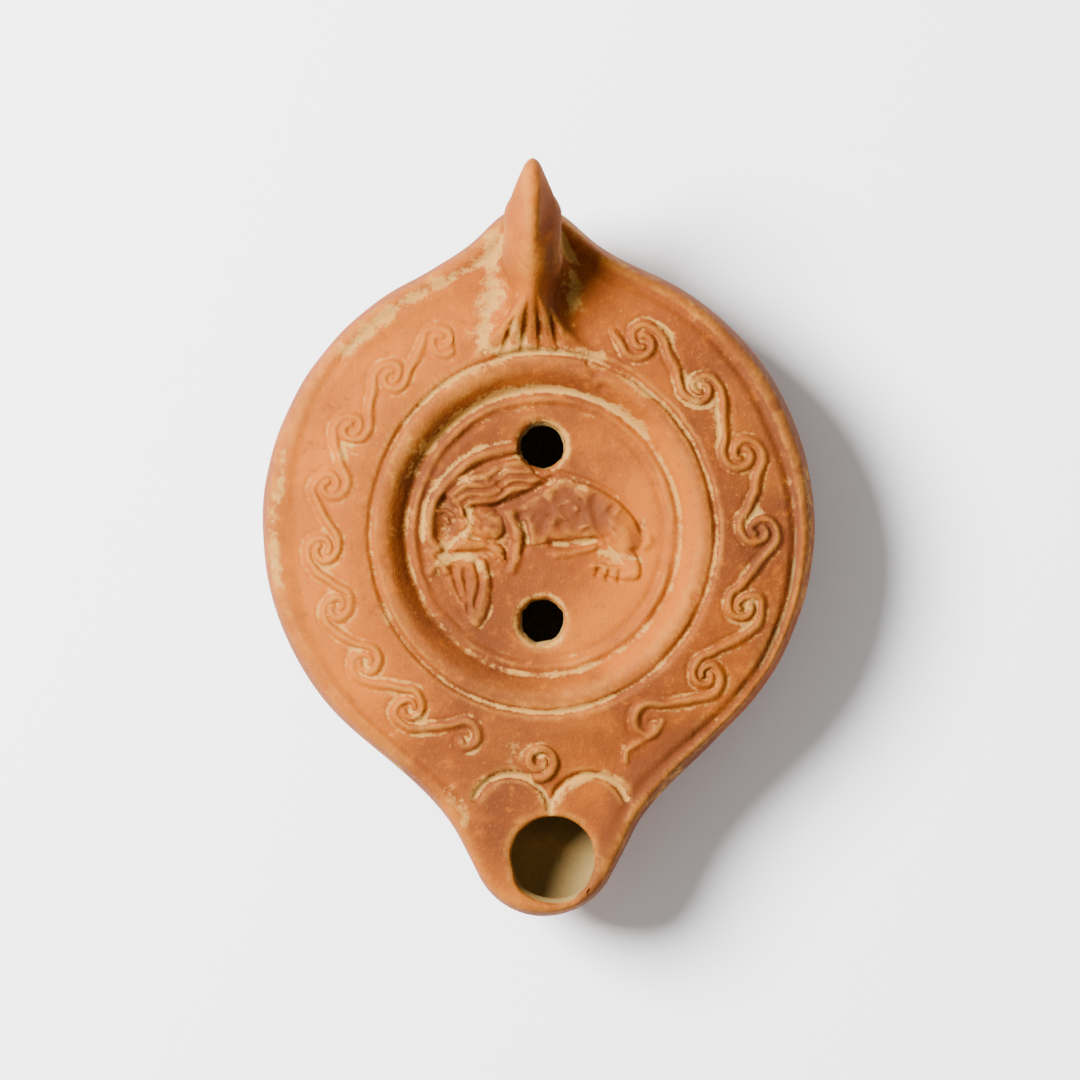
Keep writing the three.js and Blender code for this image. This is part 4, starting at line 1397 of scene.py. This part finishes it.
@dataclass(frozen=True)
class ClayFinish:
    """Fired clay under a worn orange slip, with a pale deposit in its hollows, darker and paler slip, and
    painted shade and painted light; colours are linear.
    """

    slip: tuple[float, float, float, float] = (0.165, 0.037, 0.005, 1)
    # Paler slip for random flecks; also the colour of painted light on faces turned towards the lamp.
    pale_slip_and_painted_light: tuple[float, float, float, float] = (0.34, 0.083, 0.004, 1)
    # Deeper slip for random cloudiness; also the colour of painted shade on faces turned from the lamp.
    deep_slip_and_painted_shade: tuple[float, float, float, float] = (0.092, 0.024, 0.0075, 1)
    bare: tuple[float, float, float, float] = (0.33, 0.122, 0.016, 1)
    deposit: tuple[float, float, float, float] = (0.34, 0.188, 0.046, 1)
    inner: tuple[float, float, float, float] = (0.185, 0.12, 0.04, 1)
    roughness: float = 0.66
    shine: float = 0.05
    grain_strength: float = 0.55
    grain_depth: float = 0.3

    def material(self) -> bpy.types.Material:
        """Make the material.

        Returns:
            The fired clay.
        """
        made = bpy.data.materials.new("fired clay")
        made.use_nodes = True
        made.node_tree.nodes.clear()
        graph = Graph(made.node_tree)
        place = graph.add("ShaderNodeTexCoord", output="Object")
        marks = {name: graph.add("ShaderNodeAttribute", {"attribute_name": name}, output="Fac")
                 for name in ("hollow", "crest", "inside", "scroll", "crust", "dark_slip_and_painted_shade", "thin")}
        cloud = graph.noise(place, 17, 3, 0.5, 0.3)
        blotch = graph.noise(place, 60, 4, 0.6, 0.5)
        streak = graph.noise(place, 190, 5, 0.65, 0.6)
        fleck = graph.noise(place, 520, 4, 0.65)
        grain = graph.noise(place, 1700, 3, 0.7)
        # Paler slip in random blotches, plus painted light from the marked streaks on faces turned towards
        # the lamp.
        thin = blotch.ease(0.4, 0.75) * 0.45 + marks["thin"]
        colour = graph.mix(cloud.ease(0.34, 0.6), self.deep_slip_and_painted_shade, self.slip)
        colour = graph.mix(thin.sum("MULTIPLY", 1.0, clamp=True), colour, self.pale_slip_and_painted_light)
        colour = graph.mix(fleck.ease(0.52, 0.74) * 0.45, colour, self.pale_slip_and_painted_light)
        colour = graph.mix(grain.ease(0.6, 0.72) * 0.5, colour, self.bare)
        colour = graph.mix((1 - fleck).ease(0.54, 0.78) * 0.5, colour, self.deep_slip_and_painted_shade)
        # Darker slip in random streaks and on the beast, plus painted shade on faces turned from the lamp.
        darkening_and_painted_shade = marks["dark_slip_and_painted_shade"] + (streak - 0.5) * 0.8
        colour = graph.mix(darkening_and_painted_shade.ease(0.2, 0.9) * 0.8, colour, self.deep_slip_and_painted_shade)
        rubbed = marks["crest"] * (0.15 + 0.6 * streak.ease(0.38, 0.7))
        colour = graph.mix(rubbed.sum("MINIMUM", 0.5), colour, self.bare)
        beside = 1 - (marks["scroll"] - 1.3).sum("ABSOLUTE").ease(0.1, 0.7)
        broken = (streak - 0.5) * 1.6 + (fleck - 0.5) * 1.3 + (blotch - 0.5) * 1.0 + (grain - 0.5) * 0.9
        settled = marks["hollow"] * 0.42 + beside * 0.17 + marks["crust"] * 0.72 + broken
        film = settled.ease(0.42, 0.92) * 0.92
        pale = graph.mix(streak.ease(0.35, 0.65) * 0.55, self.deposit, self.bare)
        colour = graph.mix(film, colour, pale)
        stained = graph.mix(streak.ease(0.4, 0.7) * 0.5, self.inner, self.deposit)
        colour = graph.mix(marks["inside"].ease(0.25, 0.75), colour, stained)
        rough = self.roughness + 0.22 * film + 0.12 * (fleck - 0.5)
        grainy = fleck * 0.7 + grain * 0.6 + streak * 0.6
        inputs = {"Strength": self.grain_strength, "Distance": self.grain_depth * MILLIMETRE,
                  "Height": grainy}
        normal = graph.add("ShaderNodeBump", inputs=inputs)
        inputs = {"Base Color": colour, "Roughness": rough, "Normal": normal,
                  "Specular IOR Level": self.shine}
        shader = graph.add("ShaderNodeBsdfPrincipled", inputs=inputs)
        leave = made.node_tree.nodes.new("ShaderNodeOutputMaterial")
        made.node_tree.links.new(shader.socket, leave.inputs["Surface"])
        return made


@dataclass(frozen=True)
class Streak:
    """A streak on the slip: points along it in millimetres, half width and strength."""

    points: tuple[tuple[float, float], ...]
    wide: float
    strength: float


def round_disc(radius: float, start: float, end: float) -> tuple[tuple[float, float], ...]:
    """Give points on a stretch of a circle round the disc's centre.

    Args:
        radius: The circle's radius.
        start: First direction, in degrees from +X.
        end: Last direction.

    Returns:
        The points.
    """
    turns = [math.radians(start + (end - start) * share / 16) for share in range(17)]
    return tuple((radius * math.cos(turn), radius * math.sin(turn)) for turn in turns)


@dataclass
class ClayLamp:
    """The lamp itself: one hollow piece of fired clay."""

    form: LampForm = field(default_factory=LampForm)
    scrolls: ScrollRelief = field(default_factory=ScrollRelief)
    finish: ClayFinish = field(default_factory=ClayFinish)
    relief: TopRelief = field(init=False)
    # Rounds of smoothing that tell hollows and crests apart.
    smoothing: int = 12
    # Where the mesh is finest: radii of the scrolls' band, and the picture's radius.
    scroll_zone: tuple[float, float] = (30.3, 38.6)
    picture_zone: float = 18.6
    crusts: tuple[Streak, ...] = (
        # The border line at the upper left, and both sides and the foot of the handle.
        Streak(((-30.5, 29.5), (-24.0, 35.4), (-17.4, 39.4), (-11.5, 42.3), (-8.2, 45.0)), 1.2, 1.25),
        Streak(((-7.9, 47.0), (-8.0, 40.0), (-9.3, 33.5), (-9.8, 30.5)), 1.9, 0.95),
        Streak(((3.4, 47.0), (4.9, 42.0), (5.4, 36.5)), 1.3, 0.85),
        Streak(((4.6, 50.0), (8.6, 46.2), (14.5, 42.8), (20.0, 39.6), (25.5, 36.2)), 1.8, 0.72),
        Streak(((-9.5, 29.6), (-6.0, 29.3), (-1.5, 29.2), (4.5, 29.3), (9.5, 28.3)), 0.9, 1.05),
        Streak(((-4.3, 33.2), (-3.0, 30.5)), 0.8, 0.9),
        # Chipped slip along the rim.
        Streak(((-40.7, 13.5), (-41.3, 10.0), (-41.0, 6.8)), 0.8, 1.0),
        Streak(((-42.2, 6.0), (-42.4, 0.0), (-42.2, -4.0), (-41.6, -7.5)), 1.1, 1.1),
        Streak(((-39.5, -17.5), (-37.5, -22.5)), 0.6, 0.85),
        Streak(((-33.5, -28.5), (-29.5, -32.0), (-25.5, -35.0), (-20.5, -38.2)), 0.7, 0.8),
        Streak(((42.1, 10.5), (42.6, 4.0), (42.4, -4.0), (41.6, -12.0)), 1.0, 0.85),
        Streak(((17.0, -42.5), (19.5, -40.2), (22.2, -37.4)), 0.9, 1.0),
        Streak(((-14.8, -40.5), (-12.6, -43.0), (-12.2, -45.8)), 1.2, 0.85),
        # The moulding round the disc.
        Streak(round_disc(23.2, 42, 158), 0.85, 0.95),
        Streak(round_disc(22.2, 10, 45), 0.6, 0.7),
        Streak(round_disc(22.1, -110, 10), 0.55, 0.5),
        Streak(round_disc(20.9, 150, 250), 0.5, 0.4),
        Streak(round_disc(24.6, 118, 215), 2.4, 0.3),
        Streak(round_disc(28.0, -170, -25), 0.6, 0.65),
        Streak(round_disc(28.0, -25, 75), 0.5, 0.6),
        Streak(round_disc(28.2, 100, 140), 0.7, 0.8),
        # The picture.
        Streak(((-4.0, 14.9), (-10.5, 13.3), (-15.5, 9.3), (-18.3, 4.4), (-18.7, -0.5)), 0.55, 0.75),
        Streak(((-13.5, 8.6), (-9.5, 9.3), (-5.0, 10.6)), 0.6, 0.6),
        Streak(((-11.6, 5.2), (-11.4, 2.0), (-12.8, -0.6), (-15.6, -1.7)), 0.75, 0.95),
        Streak(((-16.3, -4.4), (-13.0, -3.6), (-10.0, -4.3), (-8.4, -6.6)), 0.7, 1.05),
        Streak(((-3.4, 2.0), (-2.2, -0.8), (-0.4, -1.6)), 0.55, 0.9),
        Streak(((2.2, -1.3), (5.0, -1.1), (8.3, -0.9)), 0.45, 0.9),
        Streak(((9.4, -2.5), (12.6, -3.3), (15.6, -4.0)), 0.6, 0.95),
        Streak(((1.6, 8.0), (4.0, 8.6), (7.0, 7.4)), 0.65, 0.85),
        Streak(((12.2, 6.4), (14.8, 4.8), (16.8, 1.2), (17.4, -0.4)), 0.45, 0.85),
        Streak(((-8.2, -8.0), (-7.9, -12.0), (-9.5, -14.6)), 0.4, 0.7),
        # The heart's grooves, the small spiral and some hooks of the scrolls.
        Streak(((-11.0, -41.4), (-8.7, -38.7), (-5.5, -37.8), (-2.2, -38.9), (0.2, -41.3), (1.5, -43.9)),
               0.85, 1.0),
        Streak(((1.5, -43.9), (3.1, -41.3), (6.0, -38.9), (9.5, -38.1), (12.0, -39.2), (13.9, -42.0)),
               0.85, 1.0),
        Streak(((-4.2, -33.4), (-4.9, -36.0), (-3.6, -38.4)), 0.8, 0.75),
        Streak(((-0.8, -34.6), (0.6, -35.6), (0.2, -37.2)), 0.5, 0.9),
        Streak(((-19.6, -28.6), (-18.8, -30.6)), 1.0, 0.9),
        Streak(((-12.3, -33.0), (-11.0, -34.0)), 1.0, 0.9),
        Streak(((-29.2, -17.8), (-27.6, -21.5)), 1.2, 0.75),
        Streak(((-33.2, -10.4), (-33.4, -12.0)), 1.0, 0.75),
        Streak(((-31.4, 13.0), (-30.2, 14.4)), 1.0, 0.8),
        Streak(((18.8, 33.4), (20.6, 31.0)), 1.3, 0.85),
        Streak(((23.3, 29.0), (26.8, 27.9)), 1.0, 0.8),
        Streak(((24.2, 24.4), (24.9, 22.8)), 1.3, 0.85),
        Streak(((23.8, 21.2), (26.0, 20.6), (27.7, 18.8), (28.2, 16.4)), 1.1, 0.85),
        Streak(((32.8, 2.6), (34.6, 3.8)), 1.0, 0.8),
        Streak(((34.0, -9.6), (33.4, -11.2)), 0.9, 0.75),
    )
    # Painted light, mostly on faces turned towards the lamp: the left shoulder and rim, the ring's right
    # slope, the disc's lower right, the left sides of handle and nozzle; one faint streak on the right
    # shoulder.
    thinned: tuple[Streak, ...] = (
        Streak(round_disc(36.0, 118, 215), 8.0, 0.7),
        Streak(round_disc(41.5, 150, 220), 3.0, 0.3),
        Streak(round_disc(23.6, -62, 42), 2.2, 0.8),
        Streak(((6.0, -15.5), (12.5, -10.0), (16.5, -2.0), (16.5, 6.0)), 4.5, 0.75),
        Streak(((-3.4, 40.0), (-2.8, 50.0), (-2.0, 57.0)), 2.2, 0.5),
        Streak(((-15.0, -45.0), (-11.0, -53.0), (-5.0, -59.0)), 2.6, 0.5),
        Streak(((30.0, 22.0), (35.0, 10.0)), 3.0, 0.3),
    )
    # Darker slip on the beast's body, mane and face, and painted shade where faces turn from the lamp: the
    # right sides of nozzle and handle, the right shoulder and rim, and the disc under the ring's upper side.
    dark_slip_and_painted_shade_streaks: tuple[Streak, ...] = (
        Streak(((-6.0, 3.5), (1.0, 4.0), (8.0, 3.6)), 3.8, 1.0),
        Streak(((-4.0, -31.0), (5.0, -31.5), (13.0, -33.5)), 4.0, 0.45),
        Streak(((39.0, -12.0), (34.5, -22.0), (27.0, -31.0)), 3.0, 0.45),
        Streak(((-14.0, 7.6), (-9.0, 9.0), (-3.0, 9.4)), 2.2, 0.6),
        Streak(((-16.5, 9.0), (-18.0, 0.0), (-15.0, -10.0), (-8.0, -16.0)), 5.0, 0.6),
        Streak(((9.0, -57.0), (12.6, -49.0), (14.6, -42.0), (19.0, -37.5), (25.0, -33.0)), 4.0, 1.1),
        Streak(((-14.8, 4.6), (-14.6, 1.0)), 1.6, 0.9),
        Streak(((-11.5, -6.5), (-10.8, -13.0)), 2.2, 0.6),
        Streak(((15.5, 1.5), (14.6, -3.0)), 1.3, 0.7),
        Streak(round_disc(19.0, 60, 150), 2.4, 0.35),
        Streak(((-7.5, -42.5), (-6.8, -47.5)), 3.2, 0.5),
        Streak(((6.0, -42.0), (10.5, -44.5)), 2.6, 0.4),
        Streak(((2.0, 44.0), (2.2, 38.0), (1.0, 33.0)), 2.0, 0.75),
        Streak(round_disc(34.5, -62, -8), 3.4, 0.4),
        Streak(round_disc(36.0, 20, 50), 3.0, 0.35),
        Streak(round_disc(40.6, -60, 25), 0.6, 0.7),
    )

    def __post_init__(self) -> None:
        """Set the relief on the body."""
        self.relief = TopRelief(self.form.body)

    def build(self) -> bpy.types.Object:
        """Make the mesh, raise its relief and dress it.

        Returns:
            The lamp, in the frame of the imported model.
        """
        mesher = Mesher(self.form)
        mesher.draw()
        mesher.settle(2)
        mesher.relax(0.5)
        mesher.settle(2)
        log.info("first mesh: %d triangles", len(mesher.faces))
        mesher.refine(self.on_top(mesher))
        mesher.settle(2)
        mesher.refine(self.on_relief(mesher))
        mesher.settle(2)
        mesher.relax(0.3)
        mesher.settle(3)
        log.info("fine mesh: %d triangles", len(mesher.faces))
        points = mesher.points
        upper = points[:, 2] > self.form.body.top - 5.2
        raised = self.relief.height(points[upper, 0], points[upper, 1])
        points[upper, 2] += raised * self.faces_up(points[upper])
        lamp = self.as_object(points, mesher.faces)
        material = self.finish.material()
        self.keep_plain(lamp, points)
        self.scrolls.apply(lamp, material)
        self.mark(lamp, mesher.faces)
        return lamp

    def inside_share(self, points: np.ndarray) -> np.ndarray:
        """Tell the walls of the hollow from the outer surface.

        Args:
            points: Places on the lamp.

        Returns:
            1 in the hollow and its holes, easing to 0 on the outside.
        """
        return smoothstep(0.35, 1.1, -self.form.clay(points))

    def faces_up(self, points: np.ndarray) -> np.ndarray:
        """Give the share of the relief that each point takes.

        Args:
            points: Places in the upper part of the lamp.

        Returns:
            1 on the lamp's top, 0 on the handle and inside the holes.
        """
        off = np.abs(points[:, 2] - self.form.body.top_height(points[:, 0], points[:, 1]))
        return (1 - smoothstep(0.7, 1.6, off)) * (1 - self.inside_share(points))

    def on_top(self, mesher: Mesher) -> np.ndarray:
        """Choose the triangles of the lamp's upper side and handle.

        Args:
            mesher: The mesh so far.

        Returns:
            Whether each triangle is one of them.
        """
        middle = mesher.centres()
        return (middle[:, 2] > self.form.body.widest + 4) & (self.inside_share(middle) < 0.6)

    def on_relief(self, mesher: Mesher) -> np.ndarray:
        """Choose the triangles under the picture, the scrolls, the spiral and the heart.

        Args:
            mesher: The mesh so far.

        Returns:
            Whether each triangle is one of them.
        """
        middle = mesher.centres()
        x, y, z = middle.T
        radius = np.hypot(x, y)
        ring = self.form.body.ring_radius(x, y)
        off = np.abs(z - self.form.body.top_height(x, y))
        flat = (off < 0.8) & (self.inside_share(middle) < 0.5)
        first, last = self.scroll_zone
        band = (radius > first) & (radius < last) & ((y < 26) | (np.abs(x) > 7)) & (y > -34)
        picture = np.hypot(x + 1, y - 0.5) < self.picture_zone
        turned = (np.abs(ring - 20.8) < 2.2) | (np.abs(ring - 27.9) < 0.9)
        nozzle = (np.abs(x - 1) < 13.4) & (y < -32) & (y > -45.5)
        foot = self.form.handle.foot
        flutes = (np.abs(x + 1.5) < 7) & (y > foot - 1.5) & (y < foot + 9.5) & (z > 23)
        return (flat & (band | picture | turned | nozzle)) | flutes

    def keep_plain(self, lamp: bpy.types.Object, points: np.ndarray) -> None:
        """Mark where no scroll may rise: on the handle and its foot.

        Args:
            lamp: The lamp.
            points: Its points.
        """
        handle = self.form.handle
        aside = np.abs(points[:, 0] - handle.x)
        foot = smoothstep(13.0, 8.8, aside) * smoothstep(handle.foot - 3, handle.foot - 1, points[:, 1])
        above = smoothstep(0.4, 1.0, points[:, 2] - self.form.body.top_height(points[:, 0], points[:, 1]))
        self.store(lamp.data, self.scrolls.kept_plain, np.maximum(foot, above))

    @staticmethod
    def as_object(points: np.ndarray, faces: np.ndarray) -> bpy.types.Object:
        """Make a Blender object from points in millimetres.

        Args:
            points: The points.
            faces: The triangles.

        Returns:
            The object, smooth shaded, at the origin.
        """
        mesh = bpy.data.meshes.new("clay lamp")
        mesh.from_pydata((points * MILLIMETRE).tolist(), [], faces.tolist())
        mesh.polygons.foreach_set("use_smooth", np.ones(len(mesh.polygons), bool))
        mesh.update()
        lamp = bpy.data.objects.new("fired_clay_lamp", mesh)
        bpy.context.scene.collection.objects.link(lamp)
        return lamp

    def mark(self, lamp: bpy.types.Object, faces: np.ndarray) -> None:
        """Store where the clay is hollow, stands out or is inside, where the deposit lies, and where darker
        slip, painted shade and painted light go.

        Args:
            lamp: The finished mesh.
            faces: Its triangles.
        """
        mesh = lamp.data
        flat = np.empty(len(mesh.vertices) * 3, np.float32)
        mesh.vertices.foreach_get("co", flat)
        points = flat.reshape(-1, 3).astype(float) / MILLIMETRE
        mesh.vertices.foreach_get("normal", flat)
        normals = flat.reshape(-1, 3).astype(float)
        smooth = points
        for _ in range(self.smoothing):
            smooth = neighbour_mean(smooth, faces)
        size = (points ** 2).sum(1)
        spacing = neighbour_mean(size[:, None], faces)[:, 0] + size
        spacing = spacing - 2 * (points * neighbour_mean(points, faces)).sum(1)
        # The smoothing reaches further on larger triangles, which is taken out here.
        hollow = ((smooth - points) * normals).sum(1) * np.clip(0.17 / np.maximum(spacing, 0.01), 0, 1.2)
        self.store(mesh, "hollow", smoothstep(0.03, 0.2, hollow))
        self.store(mesh, "crest", smoothstep(0.04, 0.22, -hollow))
        self.store(mesh, "inside", self.inside_share(points))
        x, y = points[:, 0], points[:, 1]
        crust = self.spread(self.crusts, x, y)
        body = self.form.body
        for way in (1, -1):
            lip = np.hypot(x - 0.1, y - way * body.fill_spread - body.fill_y)
            lip = lip - body.fill_radius - body.fill_lip
            crust = np.maximum(crust, 1.1 * np.exp(-(lip / 0.55) ** 2))
        wick = np.hypot(x - body.wick_x, y - body.wick_y) - body.wick_radius
        crust = np.maximum(crust, 0.6 * np.exp(-(wick / 0.5) ** 2))
        high = smoothstep(14, 19, points[:, 2])
        self.store(mesh, "crust", crust * high)
        # Darker slip with painted shade, and painted light, laid from their streaks.
        self.store(mesh, "dark_slip_and_painted_shade", self.spread(self.dark_slip_and_painted_shade_streaks, x, y) * high)
        self.store(mesh, "thin", self.spread(self.thinned, x, y) * high)

    @staticmethod
    def spread(streaks: tuple[Streak, ...], x: np.ndarray, y: np.ndarray) -> np.ndarray:
        """Lay streaks over places.

        Args:
            streaks: The streaks.
            x: Places along X.
            y: Places along Y.

        Returns:
            The strongest streak's strength at each place.
        """
        strength = np.zeros(x.shape)
        for streak in streaks:
            near = line_distance(x, y, curve_through(np.array(streak.points)))
            strength = np.maximum(strength, streak.strength * np.exp(-0.7 * (near / streak.wide) ** 2))
        return strength

    @staticmethod
    def store(mesh: bpy.types.Mesh, name: str, values: np.ndarray) -> None:
        """Keep one number for each point.

        Args:
            mesh: The mesh.
            name: The attribute's name.
            values: The numbers.
        """
        marks = mesh.attributes.new(name, "FLOAT", "POINT")
        marks.data.foreach_set("value", values.astype(np.float32))


@dataclass
class Studio:
    """Pale floor, soft light from the upper left and a long lens looking straight down."""

    lens: float = 400.0
    sensor: float = 36.0
    picture_side: float = 172.1
    centre: tuple[float, float, float] = (-0.16, -0.8, 16.0)
    floor_side: float = 3000.0
    floor_colour: tuple[float, float, float, float] = (0.94, 0.94, 0.94, 1)
    floor_roughness: float = 0.9
    key_from: tuple[float, float, float] = (-592.0, 251.0, 766.0)
    key_size: float = 480.0
    key_power: float = 58.0
    sky_strength: float = 0.45

    def floor(self) -> None:
        """Lay the floor that the lamp stands on."""
        half = self.floor_side / 2 * MILLIMETRE
        mesh = bpy.data.meshes.new("floor")
        corners = [(-half, -half, 0), (half, -half, 0), (half, half, 0), (-half, half, 0)]
        mesh.from_pydata(corners, [], [(0, 1, 2, 3)])
        floor = bpy.data.objects.new("floor", mesh)
        bpy.context.scene.collection.objects.link(floor)
        paper = bpy.data.materials.new("pale paper")
        paper.use_nodes = True
        shader = paper.node_tree.nodes["Principled BSDF"]
        shader.inputs["Base Color"].default_value = self.floor_colour
        shader.inputs["Roughness"].default_value = self.floor_roughness
        mesh.materials.append(paper)

    def light(self) -> None:
        """Set the key light and the even light from all round."""
        lamp = bpy.data.lights.new("key", "AREA")
        lamp.shape = "DISK"
        lamp.size = self.key_size * MILLIMETRE
        lamp.energy = self.key_power
        key = bpy.data.objects.new("key", lamp)
        key.location = Vector(self.key_from) * MILLIMETRE
        key.rotation_euler = (-key.location).to_track_quat("-Z", "Y").to_euler()
        bpy.context.scene.collection.objects.link(key)
        world = bpy.data.worlds.new("even light")
        world.use_nodes = True
        sky = world.node_tree.nodes["Background"]
        sky.inputs["Color"].default_value = (1, 1, 1, 1)
        sky.inputs["Strength"].default_value = self.sky_strength
        bpy.context.scene.world = world

    def camera(self) -> None:
        """Hang the camera straight over the lamp."""
        data = bpy.data.cameras.new("camera")
        data.lens = self.lens
        data.sensor_width = self.sensor
        distance = self.picture_side * self.lens / self.sensor
        x, y, z = self.centre
        camera = bpy.data.objects.new("camera", data)
        camera.location = Vector((x, y, z + distance)) * MILLIMETRE
        data.clip_end = 10
        bpy.context.scene.collection.objects.link(camera)
        bpy.context.scene.camera = camera


def main() -> None:
    """Build the lamp and its studio, and log the lamp's triangle count."""
    logging.basicConfig(level=logging.INFO, format="%(name)s: %(message)s")
    lamp = ClayLamp().build()
    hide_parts(NODE)
    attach(lamp, "root")
    log.info("%s: %d triangles", lamp.name, len(lamp.data.polygons))
    studio = Studio()
    studio.floor()
    studio.light()
    studio.camera()


if __name__ == "__main__":
    main()
